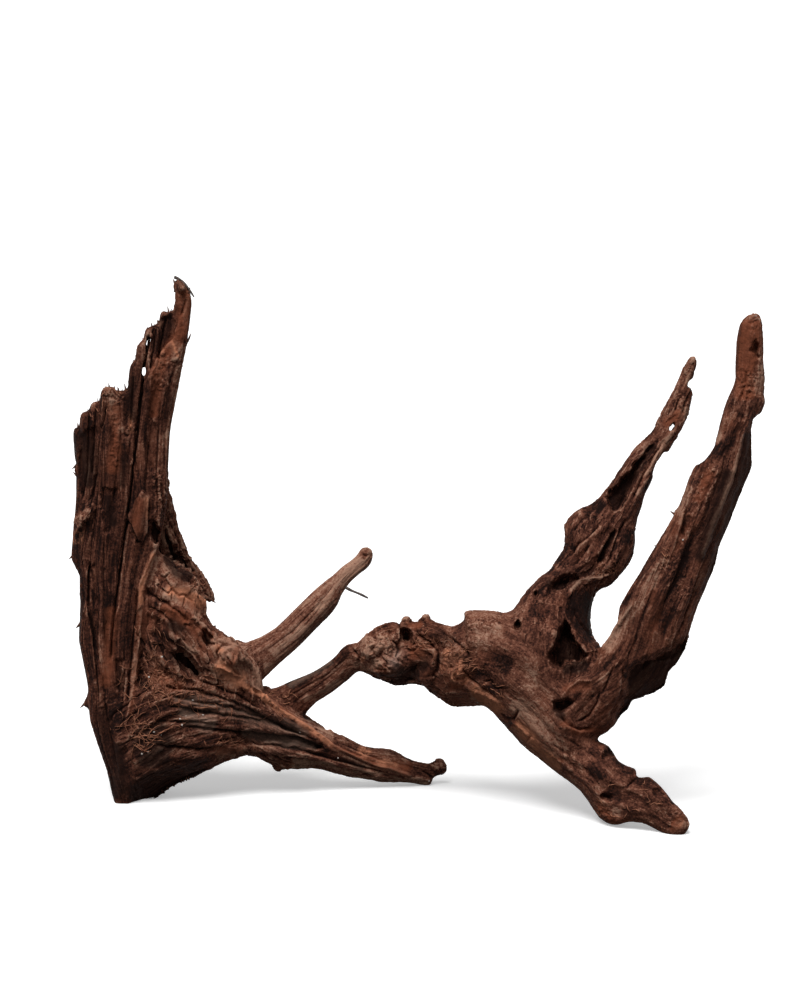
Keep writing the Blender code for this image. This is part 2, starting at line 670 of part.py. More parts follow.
def cut_with(wood, name, solver, cutters=None, cutter=None):
    """Takes a cutter, or each cutter of a collection, away from the wood."""
    cut = wood.modifiers.new(name, "BOOLEAN")
    cut.operation = "DIFFERENCE"
    cut.solver = solver
    if cutters:
        cut.operand_type = "COLLECTION"
        cut.collection = cutters
    else:
        cut.object = cutter


def add_sole(cutters):
    """The block under the wood that cuts its low points level at z = 0."""
    bpy.ops.mesh.primitive_cube_add(size=1.0)
    sole = bpy.context.object
    sole.name = "sole"
    flat = Matrix.Diagonal((2 * OVERALL_WIDTH, 2 * OVERALL_WIDTH, SOLE_BLOCK, 1.0))
    sole.data.transform(Matrix.Translation((0.0, 0.0, -SOLE_BLOCK / 2)) @ flat)
    for holder in list(sole.users_collection):
        holder.objects.unlink(sole)
    cutters.objects.link(sole)
    sole.hide_render = True
    sole.display_type = "WIRE"
    return sole


def build():
    """Clears the scene and builds the driftwood."""
    for thing in list(bpy.data.objects):
        bpy.data.objects.remove(thing, do_unlink=True)
    parts = collection("driftwood")
    hollows = collection("hollows")
    joiners = collection("twigs_and_sole")

    wood = bpy.data.objects.new("driftwood", wood_limbs())
    parts.objects.link(wood)
    fuse(wood, ease_times=3)
    add_strands(wood)
    fuse(wood, ease_times=0)

    for name, hollow in HOLLOWS.items():
        add_hollow(wood, hollows, name, hollow, from_back=False)
    for name, hollow in FAR_HOLLOWS.items():
        add_hollow(wood, hollows, name, hollow, from_back=True)
    cut_with(wood, "hollows", "MANIFOLD", cutters=hollows)
    fuse(wood, ease_times=1)
    keep_largest_shell(wood)

    thin = wood.modifiers.new("thin", "DECIMATE")
    thin.ratio = TRIANGLES / sum(len(face.vertices) - 2 for face in wood.data.polygons)
    applied(wood)

    add_twigs(wood, joiners)
    cut_with(wood, "sole", "EXACT", cutter=add_sole(joiners))
    applied(wood)
    keep_largest_shell(wood)

    wood.data.materials.clear()
    wood.data.materials.append(driftwood_material())
    wood.data.shade_smooth()


build()
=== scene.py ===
# %% [markdown]
# # A piece of weathered root driftwood
# The real thing is one grown root: a split slab of upright staves, a gnarled heart with a ribbed fan, three
# side branches, a knotted neck, and a body that carries two arms and a foot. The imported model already
# stands at the right place and size. This script grows a much finer skin of the same form round it, works
# cracks, ridges and grain into that skin, and gives it a wood finish that follows the grain.

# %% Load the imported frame
import json
import math

import bmesh
import bpy
import numpy as np
from mathutils import Matrix, Vector

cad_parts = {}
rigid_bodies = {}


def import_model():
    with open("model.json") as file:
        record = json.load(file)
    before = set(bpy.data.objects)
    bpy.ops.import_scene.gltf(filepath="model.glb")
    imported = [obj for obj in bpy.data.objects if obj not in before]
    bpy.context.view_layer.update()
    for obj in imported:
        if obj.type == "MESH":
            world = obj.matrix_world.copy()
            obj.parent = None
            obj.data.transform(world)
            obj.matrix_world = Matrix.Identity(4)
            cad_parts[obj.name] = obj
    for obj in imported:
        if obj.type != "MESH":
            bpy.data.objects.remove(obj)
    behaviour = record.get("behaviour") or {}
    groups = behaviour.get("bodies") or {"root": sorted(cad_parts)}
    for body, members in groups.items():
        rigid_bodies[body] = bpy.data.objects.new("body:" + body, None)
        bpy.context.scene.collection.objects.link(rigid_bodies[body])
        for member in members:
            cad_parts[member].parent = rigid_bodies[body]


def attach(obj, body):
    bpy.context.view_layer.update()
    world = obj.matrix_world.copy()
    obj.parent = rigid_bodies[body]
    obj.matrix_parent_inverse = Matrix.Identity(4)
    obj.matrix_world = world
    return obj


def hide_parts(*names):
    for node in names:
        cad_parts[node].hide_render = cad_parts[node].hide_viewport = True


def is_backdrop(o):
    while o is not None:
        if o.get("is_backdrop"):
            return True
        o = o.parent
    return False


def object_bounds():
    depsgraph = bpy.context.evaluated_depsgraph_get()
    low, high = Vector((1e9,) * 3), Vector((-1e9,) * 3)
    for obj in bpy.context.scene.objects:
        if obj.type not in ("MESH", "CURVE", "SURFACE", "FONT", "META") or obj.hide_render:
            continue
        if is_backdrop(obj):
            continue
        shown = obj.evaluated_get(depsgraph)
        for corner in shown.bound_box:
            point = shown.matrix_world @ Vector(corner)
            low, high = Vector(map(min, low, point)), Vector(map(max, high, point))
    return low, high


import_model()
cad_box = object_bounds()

print("packed box", [[round(v, 4) for v in corner] for corner in cad_box])

# %% [markdown]
# ## The drawing sheet
# Every limb is drawn on a sheet as an eye sees the wood: so many steps across and down, and so many steps
# behind the sheet. An alternative is to model straight in world coordinates, but then a point that is seen
# in one place has to be found by trial. With one pair of formulas a drawn point becomes a world point, and
# a world point can be looked up on the sheet again, which is also how cracks and stains are placed later.
# In the tables, the two numbers of a place on the sheet stand close together.

# %% Sheet points to world points, and back
OVERALL_WIDTH = 0.500
SIGHT_TILT = math.radians(12.0)
SIGHT_DISTANCE = 2.89
SHEET_WIDTH = 798
SHEET_HEIGHT = 1000
STEP = OVERALL_WIDTH / 692
EYE = SIGHT_DISTANCE / STEP
TILT_SIN = math.sin(SIGHT_TILT)
TILT_COS = math.cos(SIGHT_TILT)
MM = 0.001


def carried(across, down, behind):
    """A sheet point carried along its line of sight until it is `behind` steps back, in steps: the eye plus
    the ray to the sheet point, stretched by the ratio of the two depths."""
    side = np.asarray(across, float) - SHEET_WIDTH / 2
    rise = SHEET_HEIGHT / 2 - np.asarray(down, float)
    behind = np.asarray(behind, float)
    reach = (behind + EYE * TILT_COS) / (rise * TILT_SIN + EYE * TILT_COS)
    height = EYE * TILT_SIN + reach * (rise * TILT_COS - EYE * TILT_SIN)
    return np.stack(np.broadcast_arrays(side * reach, behind, height), axis=-1)


ORIGIN = np.array([14.6, -6.0, carried(0, 799.5, 0)[2]])


def place(across, down, behind):
    """World point, in metres, of a sheet point carried back to `behind`."""
    return (carried(across, down, behind) - ORIGIN) * STEP


def on_sheet(points):
    """Across, down and depth on the sheet of world points: each is moved to the eye's own axes, and its
    side and rise are scaled by the eye's distance over its depth."""
    seen = points / STEP + ORIGIN - np.array([0.0, -EYE * TILT_COS, EYE * TILT_SIN])
    depth = seen[:, 1] * TILT_COS - seen[:, 2] * TILT_SIN
    rise = seen[:, 1] * TILT_SIN + seen[:, 2] * TILT_COS
    across = SHEET_WIDTH / 2 + seen[:, 0] * EYE / depth
    down = SHEET_HEIGHT / 2 - rise * EYE / depth
    return across, down, depth


EYE_SPOT = (np.array([0.0, -EYE * TILT_COS, EYE * TILT_SIN]) - ORIGIN) * STEP
print("the eye stands at", EYE_SPOT.round(4))

# %% [markdown]
# ## Stage and camera
# The wood lies on a plain pale floor that runs on to the horizon, under a broad soft light from above and
# a little to the left, which leaves the undersides dark. The camera is the eye of the drawing sheet, so the
# picture has the sheet's own frame. It comes first, because everything after it is judged through it.

# %% The camera
def scene_object(name, data):
    """A new object of the scene that shows the data."""
    thing = bpy.data.objects.new(name, data)
    bpy.context.scene.collection.objects.link(thing)
    return thing


def set_inputs(node, values):
    """Sets inputs of a shader node by their names."""
    for socket, value in values.items():
        node.inputs[socket].default_value = value


camera_data = bpy.data.cameras.new("eye")
camera_data.sensor_fit = "VERTICAL"
camera_data.sensor_height = 36.0
camera_data.lens = camera_data.sensor_height * EYE / SHEET_HEIGHT
camera_data.clip_end = 100.0
camera = scene_object("eye", camera_data)
camera.location = EYE_SPOT
camera.rotation_euler = (math.pi / 2 - SIGHT_TILT, 0.0, 0.0)
bpy.context.scene.camera = camera
print("the lens is", round(camera_data.lens, 2), "mm long")

# %% Floor and light
FLOOR_REACH = 30.0
PAPER_LOOK = {"Base Color": (0.93, 0.93, 0.93, 1.0), "Roughness": 0.9,
              "Emission Color": (1.0, 1.0, 1.0, 1.0), "Emission Strength": 0.35}
# Height in the sky as a share, and how bright it is there
SKY_STOPS = ((0.485, 0.05), (0.515, 1.0))
SKY_STRENGTH = 0.30
floor_mesh = bpy.data.meshes.new("floor")
corners = [(-FLOOR_REACH, -FLOOR_REACH, 0), (FLOOR_REACH, -FLOOR_REACH, 0),
           (FLOOR_REACH, FLOOR_REACH, 0), (-FLOOR_REACH, FLOOR_REACH, 0)]
floor_mesh.from_pydata(corners, [], [(0, 1, 2, 3)])
floor = scene_object("floor", floor_mesh)
paper = bpy.data.materials.new("pale_paper")
paper.use_nodes = True
set_inputs(paper.node_tree.nodes["Principled BSDF"], PAPER_LOOK)
floor_mesh.materials.append(paper)
floor.visible_diffuse = False
floor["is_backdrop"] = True


def add_sun(name, strength, softness, azimuth, elevation):
    """A soft far light that shines from an azimuth, counted from +X towards +Y, and an elevation."""
    data = bpy.data.lights.new(name, "SUN")
    data.energy = strength
    data.angle = math.radians(softness)
    light = scene_object(name, data)
    a = math.radians(azimuth)
    e = math.radians(elevation)
    towards = Vector((math.cos(e) * math.cos(a), math.cos(e) * math.sin(a), math.sin(e)))
    light.rotation_euler = towards.to_track_quat("Z", "Y").to_euler()


add_sun("high_softbox", strength=3.2, softness=32.0, azimuth=-112.0, elevation=64.0)
world = bpy.data.worlds.new("pale_room")
world.use_nodes = True
bpy.context.scene.world = world
sky = world.node_tree
sky_ramp = sky.nodes.new("ShaderNodeValToRGB")
for element, (height, grey) in zip(sky_ramp.color_ramp.elements, SKY_STOPS):
    element.position = height
    element.color = (grey, grey, grey, 1.0)
sky_where = sky.nodes.new("ShaderNodeTexCoord")
sky_split = sky.nodes.new("ShaderNodeSeparateXYZ")
sky_height = sky.nodes.new("ShaderNodeMapRange")
set_inputs(sky_height, {"From Min": -1.0})
sky.links.new(sky_where.outputs["Generated"], sky_split.inputs[0])
sky.links.new(sky_split.outputs["Z"], sky_height.inputs["Value"])
sky.links.new(sky_height.outputs[0], sky_ramp.inputs["Fac"])
sky.links.new(sky_ramp.outputs["Color"], sky.nodes["Background"].inputs["Color"])
set_inputs(sky.nodes["Background"], {"Strength": SKY_STRENGTH})
bpy.context.scene.view_settings.view_transform = "Standard"
print("floor and light are set")

# %% [markdown]
# ## The limbs
# A root swells, bends and twists, but at every place along it one can say where its two edges lie, how far
# back its middle is and how thick it is. So a limb is a table of such stations, and its surface is a ring
# of points carried along them. Ribs that wind round it are added as a formula of the angle. The tables are
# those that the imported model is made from, so the two forms agree.

# %% Limb stations: one edge (across, down), the other edge, middle behind, half depth
LIMB_STATIONS = {
    "heart": (
        (150,556, 164,556, 18, 14), (146,578, 197,580, 16, 24), (142,600, 205,601, 14, 30),
        (140,620, 207,619, 14, 34), (138,638, 226,635, 14, 36), (136,656, 243,651, 15, 37),
        (134,676, 260,670, 17, 36), (130,698, 264,690, 18, 34), (128,722, 262,712, 18, 30),
        (128,745, 250,740, 16, 24)),
    "fan": (
        (116,700, 117,808, 2, 26), (140,682, 141,808, 5, 31), (168,668, 170,787, 9, 35),
        (200,664, 202,772, 13, 34), (228,670, 229,760, 18, 31), (252,686, 250,755, 23, 27),
        (278,703, 272,764, 27, 23), (303,719, 298,769, 32, 19), (321,729, 318,768, 36, 16),
        (339,735, 336,773, 40, 14), (362,745, 357,778, 44, 13), (390,750, 386,782, 48, 11),
        (414,761, 409,783, 53, 10), (437,765, 430,787, 57, 8)),
    "fin": (
        (150,430, 166,440, 26, 9), (150,455, 167,460, 28, 11), (150,480, 169,482, 31, 12),
        (150,508, 175,510, 34, 13), (152,532, 182,535, 37, 13), (156,554, 190,556, 40, 12),
        (162,569, 202,571, 42, 11), (172,583, 211,586, 43, 9), (188,597, 217,603, 43, 5)),
    "upper_branch": (
        (214,655, 246,700, 34, 22), (238,645, 263,680, 42, 19), (255,639, 277,666, 50, 16),
        (275,628, 296,649, 60, 15), (297,607, 317,628, 72, 14), (319,586, 337,606, 84, 12),
        (331,576, 343,593, 91, 10), (341,567, 350,583, 97, 9), (352,559, 361,573, 103, 8),
        (359,552, 369,567, 107, 7), (364,546, 373,560, 110, 6)),
    "middle_branch": (
        (250,684, 268,740, 44, 20), (270,689, 301,719, 44, 15), (296,679, 313,705, 38, 13),
        (318,669, 332,692, 32, 12), (334,657, 348,680, 26, 11), (347,645, 359,671, 21, 12),
        (358,642, 367,673, 17, 13), (372,640, 378,672, 14, 14)),
    "neck": (
        (352,650, 357,668, 18, 9), (363,638, 368,674, 14, 18), (373,630, 379,679, 11, 23),
        (384,624, 389,684, 9, 25), (393,622, 398,686, 7, 25), (402,626, 407,684, 5, 24),
        (412,622, 416,684, 2, 25), (425,621, 428,689, -1, 28), (439,623, 440,698, -5, 31),
        (452,626, 452,706, -10, 34), (464,622, 470,706, -15, 37), (480,614, 488,706, -20, 40),
        (500,618, 505,712, -25, 40)),
    "foot": (
        (464,610, 474,702, -16, 34), (494,611, 487,707, -24, 40), (528,622, 504,726, -32, 42),
        (558,650, 527,749, -40, 40), (582,696, 551,768, -48, 36), (593,739, 570,782, -57, 28),
        (607,745, 580,791, -66, 25), (614,754, 590,804, -74, 23), (622,764, 602,820, -82, 21),
        (635,770, 614,825, -90, 19), (648,776, 629,822, -97, 17), (661,786, 644,824, -104, 15),
        (674,803, 659,831, -111, 13), (685,813, 672,837, -117, 10), (691,824, 684,836, -120, 6)),
    "thin_arm": (
        (506,640, 598,702, -34, 42), (512,611, 604,655, -22, 38), (520,599, 595,640, -11, 34),
        (535,582, 590,617, -2, 29), (553,566, 597,591, 7, 24), (564,546, 612,584, 13, 22),
        (564,531, 628,565, 17, 21), (569,520, 634,549, 21, 20), (577,511, 635,531, 25, 18),
        (591,505, 639,515, 29, 17), (604,491, 647,490, 33, 16), (618,472, 655,472, 37, 14),
        (631,453, 663,461, 41, 13), (642,441, 673,444, 45, 11), (653,429, 683,427, 48, 10),
        (660,415, 690,411, 51, 9), (669,398, 693,392, 54, 8), (678,380, 691,384, 57, 6),
        (684,366, 697,369, 59, 5), (690,355, 698,358, 60, 4)),
    "thick_arm": (
        (552,716, 588,741, -56, 20), (566,692, 612,728, -58, 27), (582,677, 623,713, -59, 31),
        (597,662, 648,697, -60, 33), (603,650, 668,682, -60, 34), (613,630, 682,656, -60, 33),
        (620,606, 694,616, -58, 31), (629,590, 706,586, -57, 29), (640,573, 715,562, -56, 27),
        (650,555, 719,545, -54, 26), (661,536, 727,527, -52, 25), (671,519, 735,507, -50, 24),
        (681,501, 743,487, -48, 23), (687,484, 750,468, -46, 22), (695,466, 752,450, -44, 20),
        (707,455, 752,434, -42, 19), (715,440, 753,420, -40, 17), (720,420, 761,413, -38, 16),
        (726,402, 764,396, -36, 14), (735,382, 764,380, -34, 13), (736,360, 763,360, -32, 12),
        (738,335, 763,336, -30, 10), (743,319, 762,320, -29, 8), (751,313, 759,313, -28, 5)),
}
# How many ribs wind round each limb, their height in steps, their turns along it, its squareness
LIMB_RIBS = {
    "heart": (7, 3.4, 0.08, 2.3), "fan": (11, 3.0, 0.05, 2.6), "fin": (6, 2.4, 0.06, 2.0),
    "upper_branch": (5, 0.8, 0.05, 2.2), "middle_branch": (5, 1.4, 0.06, 2.4), "neck": (6, 4.0, 0.19, 2.2),
    "foot": (6, 3.0, 0.11, 2.4), "thin_arm": (6, 3.0, 0.08, 2.3), "thick_arm": (7, 3.8, 0.06, 2.4),
}
RING_POINTS = 72
RINGS = 150
# Finer ribs and knots as shares of the ribs' height, knots along a limb, and the ribs' middle level
FINE_RIB, KNOT, KNOTS_ALONG, RIB_LEVEL = 0.5, 0.4, 4.5, 0.7
# The thickness in steps from which ribs are full, and how far they fade at the edges
STOUT, EDGE_FADE = 16.0, 0.75
print(len(LIMB_STATIONS), "limbs")


# %% Rings along a limb
def smooth_rows(rows, count):
    """Stations spread evenly along a smooth curve through the drawn ones: a Catmull-Rom spline whose
    parameter is the distance that the middle travels."""
    rows = np.array(rows, float)
    middle = (rows[:, 0:2] + rows[:, 2:4]) / 2
    travel = np.hypot(*np.diff(middle, axis=0).T)
    ends = np.concatenate([[0], np.cumsum(travel)])
    slopes = np.gradient(rows, ends, axis=0)
    where = np.linspace(0, ends[-1], count)
    span = np.clip(np.searchsorted(ends, where, side="right") - 1, 0, len(ends) - 2)
    length = (ends[span + 1] - ends[span])[:, None]
    s = (where - ends[span])[:, None] / length
    leaving = (1 + 2 * s) * (1 - s) ** 2 * rows[span] + s * (1 - s) ** 2 * length * slopes[span]
    arriving = s * s * (3 - 2 * s) * rows[span + 1] - s * s * (1 - s) * length * slopes[span + 1]
    return leaving + arriving


def section(around, squareness):
    """Angle, and cosine and sine of a superellipse: round for squareness 2, squarer above it."""
    angle = np.linspace(0, 2 * math.pi, around, endpoint=False)
    c = np.cos(angle)
    s = np.sin(angle)
    bend = 2 / squareness
    return angle, np.sign(c) * np.abs(c) ** bend, np.sign(s) * np.abs(s) ** bend


def limb_grid(name, phase):
    """Rings of a limb. The ring's width runs from edge to edge on the sheet, its depth behind the sheet.
    The ribs are a rectified sine of the angle that turns along the limb, plus a finer one that turns the
    other way, plus slow knots, and they fade at the two edges and where the limb is thin."""
    ribs, height, turns, squareness = LIMB_RIBS[name]
    rows = smooth_rows(LIMB_STATIONS[name], RINGS)
    angle, wide, deep = section(RING_POINTS, squareness)
    run = np.linspace(0, 1, RINGS)[:, None]
    middle = (rows[:, 0:2] + rows[:, 2:4]) / 2
    half = (rows[:, 2:4] - rows[:, 0:2]) / 2
    width = np.hypot(half[:, 0], half[:, 1])[:, None]
    depth = rows[:, 5][:, None]
    turned = 2 * math.pi * turns * run
    coarse = np.sin(ribs * (angle + turned) + phase)
    fine = FINE_RIB * np.sin((ribs + 3) * angle - 2 * turned + 2 * phase)
    knots = KNOT * np.sin(2 * math.pi * KNOTS_ALONG * run + 2 * angle + phase)
    stoutness = np.minimum(1.0, np.minimum(width, depth) / STOUT)
    lift = height * (np.abs(coarse + fine) - RIB_LEVEL + knots) * stoutness * (1 - EDGE_FADE * wide**4)
    wide = wide * (1 + lift / width)
    deep = deep * (1 + lift / depth)
    across = middle[:, 0:1] + half[:, 0:1] * wide
    down = middle[:, 1:2] + half[:, 1:2] * wide
    return place(across, down, rows[:, 4:5] + depth * deep)


def outward(points, triangles):
    """The same shell with its faces turned outwards: they are flipped if the volume, a sum of triple
    products, comes out negative."""
    a, b, c = (points[triangles[:, k]] for k in range(3))
    volume = np.einsum("ij,ij->i", a, np.cross(b, c)).sum()
    return points, (triangles if volume > 0 else triangles[:, ::-1])


def closed_tube(grid):
    """Vertices and outward triangles of a tube of rings, with a fan round the middle of each end ring."""
    rings, around, _ = grid.shape
    points = np.concatenate([grid.reshape(-1, 3), grid[:1].mean(axis=1), grid[-1:].mean(axis=1)])
    ring, k = np.meshgrid(np.arange(rings - 1), np.arange(around), indexing="ij")
    a = (ring * around + k).ravel()
    b = (ring * around + (k + 1) % around).ravel()
    sides = np.concatenate([np.stack([a, b, b + around], 1), np.stack([a, b + around, a + around], 1)])
    k = np.arange(around)
    after = (k + 1) % around
    last = (rings - 1) * around
    first_pole = np.full(around, rings * around)
    start = np.stack([after, k, first_pole], 1)
    finish = np.stack([last + k, last + after, first_pole + 1], 1)
    return outward(points, np.concatenate([sides, start, finish]))


shells = [closed_tube(limb_grid(name, phase)) for phase, name in enumerate(LIMB_STATIONS)]
print("limb shells", len(shells), "points", sum(len(points) for points, _ in shells))

# %% [markdown]
# ## The slab's staves
# The slab has split along its grain into long boards that end at different heights. Each stave is a tube
# too, between two seams that run as shares of the slab's width, thin at the broken top and thick below.
# The staves overlap a little, so they grow together but keep a sharp groove between them.

# %% Staves
SLAB_DOWN = (270, 285, 300, 345, 390, 430, 466, 500, 530, 558, 600, 640, 685, 720, 745, 770, 806)
SLAB_LEFT = (148, 106, 66, 68, 70, 73, 76, 76, 73, 71, 81, 79, 88, 90, 98, 107, 115)
SLAB_RIGHT = (180, 187, 192, 187, 178, 170, 168, 167, 162, 156, 144, 140, 137, 136, 132, 135, 144)
SEAMS = (0.0, 0.09, 0.19, 0.29, 0.42, 0.54, 0.59, 0.64, 0.685, 0.76, 0.85, 1.0)
STAVE_TOPS = (427, 412, 402, 387, 391, 362, 342, 327, 324, 310, 279)
STAVE_FRONTS = (4, 0, 5, -2, 1, 5, 1, 4, -3, 2, -3)
# Wide boards that bridge the seams where the slab is whole: two shares of the width, top, front
BOARDS = ((0.27, 0.60, 432, 1.0), (0.56, 0.98, 470, 0.0), (0.05, 0.60, 600, 1.0))
# A stave's first rings in steps below its top, and how thin it is there
TOP_RINGS, TOP_PINCH = (0.0, 3.0, 12.0), (0.6, 0.9)
# Its half thickness at the top and what it gains in steps, and its lap as a share of its width
STAVE_HALF, STAVE_GAIN, STAVE_LAP = 7.0, 13.0, 0.10
# Where the staves are level with each other, how far back the slab lies, and how far its edges curl back
LEVEL_FROM, SLAB_BACK, SLAB_CURL = 640.0, 4.0, 18.0


def stave_grid(seam, next_seam, top, front, squareness=2.8):
    """Rings of one stave: it spans its two seams plus a small lap, its half thickness grows evenly down the
    slab, and its middle follows the slab's curl, the square of its share from the middle."""
    low = SLAB_DOWN[-1]
    start = top + np.array(TOP_RINGS)
    down = np.concatenate([start, np.linspace(start[-1], low, 70)[1:]])
    left = np.interp(down, SLAB_DOWN, SLAB_LEFT)
    right = np.interp(down, SLAB_DOWN, SLAB_RIGHT)
    lap = STAVE_LAP * (next_seam - seam)
    first = left + max(seam - lap, 0.0) * (right - left)
    last = left + min(next_seam + lap, 1.0) * (right - left)
    share = (down - SLAB_DOWN[0]) / (low - SLAB_DOWN[0])
    pinch = np.ones_like(down)
    pinch[0:2] = TOP_PINCH
    half = (STAVE_HALF + STAVE_GAIN * share) * pinch
    apart = np.clip((low - down) / (low - LEVEL_FROM), 0, 1)
    curl = (seam + next_seam - 1) ** 2
    behind = SLAB_BACK + front * apart + SLAB_CURL * curl * (1 - share)
    _, wide, deep = section(28, squareness)
    across = ((first + last) / 2)[:, None] + ((last - first) / 2 * pinch)[:, None] * wide
    return place(across, down[:, None], behind[:, None] + half[:, None] * deep)


for stave in zip(SEAMS, SEAMS[1:], STAVE_TOPS, STAVE_FRONTS):
    shells.append(closed_tube(stave_grid(*stave)))
for board in BOARDS:
    shells.append(closed_tube(stave_grid(*board, squareness=4.5)))
print("staves", len(STAVE_TOPS), "boards", len(BOARDS))

# %% [markdown]
# ## Nubs, horns and burls
# Broken stubs and round burls stand out of the limbs. A stub is a short tapering tube from a root inside
# the wood to a tip outside it, and a burl is a ball that is sunk most of the way in.

# %% Stubs and burls
# Root (across, down), tip (across, down), behind, root radius, tip radius
STUBS = (
    (183,292, 176,277, 1, 4.5, 2.2), (92,694, 83,707, 8, 4.0, 2.4), (84,476, 74,469, 10, 5.0, 2.8),
    (300,757, 274,767, 24, 9.0, 6.0), (412,641, 405,616, -2, 8.0, 5.0),
    (428,642, 425,614, -4, 8.5, 5.0), (486,636, 471,612, -22, 14.0, 5.0),
    (512,634, 505,613, -22, 13.0, 6.0), (629,787, 631,767, -88, 6.5, 4.2),
    (684,520, 673,510, -48, 5.0, 2.2), (668,555, 656,546, -44, 5.0, 2.2),
    (640,612, 627,598, -46, 12.0, 6.0), (203,588, 215,602, 43, 5.0, 2.2),
)
# Middle (across, down), behind, radius
BURLS = (
    (231, 657, -13, 12), (439, 767, 57, 9), (366, 554, 109, 8), (391, 662, -11, 13), (374, 648, 0, 14),
    (754, 401, -38, 11), (576, 527, 20, 12), (678, 825, -117, 10), (428, 675, -18, 11),
)
POLE_TURN = 0.05


def tube_along(line, radii, around):
    """Rings round a line of points: each ring lies square to the line, on a side vector that is level with
    the sheet, and has its own radius."""
    along = np.gradient(line, axis=0)
    along /= np.linalg.norm(along, axis=1)[:, None]
    side = np.cross(along, (0.0, TILT_COS, -TILT_SIN))
    side /= np.linalg.norm(side, axis=1)[:, None] + 1e-12
    out = np.cross(side, along)
    angle = np.linspace(0, 2 * math.pi, around, endpoint=False)
    ring = side[:, None] * np.cos(angle)[:, None] + out[:, None] * np.sin(angle)[:, None]
    return line[:, None] + np.asarray(radii)[:, None, None] * ring


def ball(middle, radius, around=28):
    """A ball as a tube along +X whose radius is the sine of the turn from pole to pole."""
    turn = np.linspace(POLE_TURN, math.pi - POLE_TURN, around // 2)
    line = np.stack([-np.cos(turn) * radius, np.zeros_like(turn), np.zeros_like(turn)], 1)
    return middle + tube_along(line, radius * np.sin(turn), around)


for across, down, tip_across, tip_down, behind, root_radius, tip_radius in STUBS:
    share = np.linspace(0, 1, 6)
    line = place(across + share * (tip_across - across), down + share * (tip_down - down), behind)
    radii = (root_radius + share * (tip_radius - root_radius)) * STEP
    shells.append(closed_tube(tube_along(line, radii, 20)))
for across, down, behind, radius in BURLS:
    shells.append(closed_tube(ball(place(across, down, behind), radius * STEP)))
print("stubs", len(STUBS), "burls", len(BURLS))

# %% [markdown]
# ## One skin
# All these shells cross each other. A voxel remesh fills them and draws a single surface round the whole,
# which is how the limbs come to flow into each other as on a grown root. A Boolean union would keep every
# hard crease. Coarse passes come first, because the strands of grain are then laid on them, and each later
# one is finer.

# %% Growing shells together
FIRST_CELL = 1.6 * MM
STRAND_CELL = 1.3 * MM
BITE_CELL = 1.15 * MM
SKIN_CELL = 0.73 * MM


def mesh_of(name, points, triangles):
    """A mesh from arrays of points and triangles, written in one go."""
    mesh = bpy.data.meshes.new(name)
    mesh.vertices.add(len(points))
    mesh.vertices.foreach_set("co", np.asarray(points, np.float32).ravel())
    mesh.loops.add(triangles.size)
    mesh.loops.foreach_set("vertex_index", np.asarray(triangles, np.int32).ravel())
    mesh.polygons.add(len(triangles))
    starts = np.arange(len(triangles), dtype=np.int32) * triangles.shape[1]
    mesh.polygons.foreach_set("loop_start", starts)
    mesh.update(calc_edges=True)
    return mesh


def joined(parts):
    """Several shells as one pair of arrays, each shell's triangles counted on from the points before it."""
    starts = np.cumsum([0] + [len(points) for points, _ in parts[:-1]])
    points = np.concatenate([points for points, _ in parts])
    return points, np.concatenate([triangles + start for (_, triangles), start in zip(parts, starts)])


def grow_together(piece, cell, ease_times):
    """One skin round all shells of the piece, from voxels of the given size, eased a little, and with all
    the piece's modifiers worked into its mesh."""
    skin = piece.modifiers.new("skin", "REMESH")
    skin.mode = "VOXEL"
    skin.voxel_size = cell
    ease = piece.modifiers.new("ease", "SMOOTH")
    ease.factor = 0.5
    ease.iterations = ease_times
    graph = bpy.context.evaluated_depsgraph_get()
    mesh = bpy.data.meshes.new_from_object(piece.evaluated_get(graph))
    piece.modifiers.clear()
    piece.data = mesh


wood = scene_object("grown_wood", mesh_of("grown_wood", *joined(shells)))
grow_together(wood, FIRST_CELL, 4)
print("first skin", len(wood.data.vertices), "points")

# %% [markdown]
# ## Strands of grain
# Where a root has weathered, its hard strands stand up as long ribs. Each is drawn as a line on the sheet.
# A ray from the eye finds where the line lies on the skin, and a tube that tapers at both ends is laid half
# sunk along it. The same lines, a little shifted, are also cast from behind, so the far side is ribbed too.

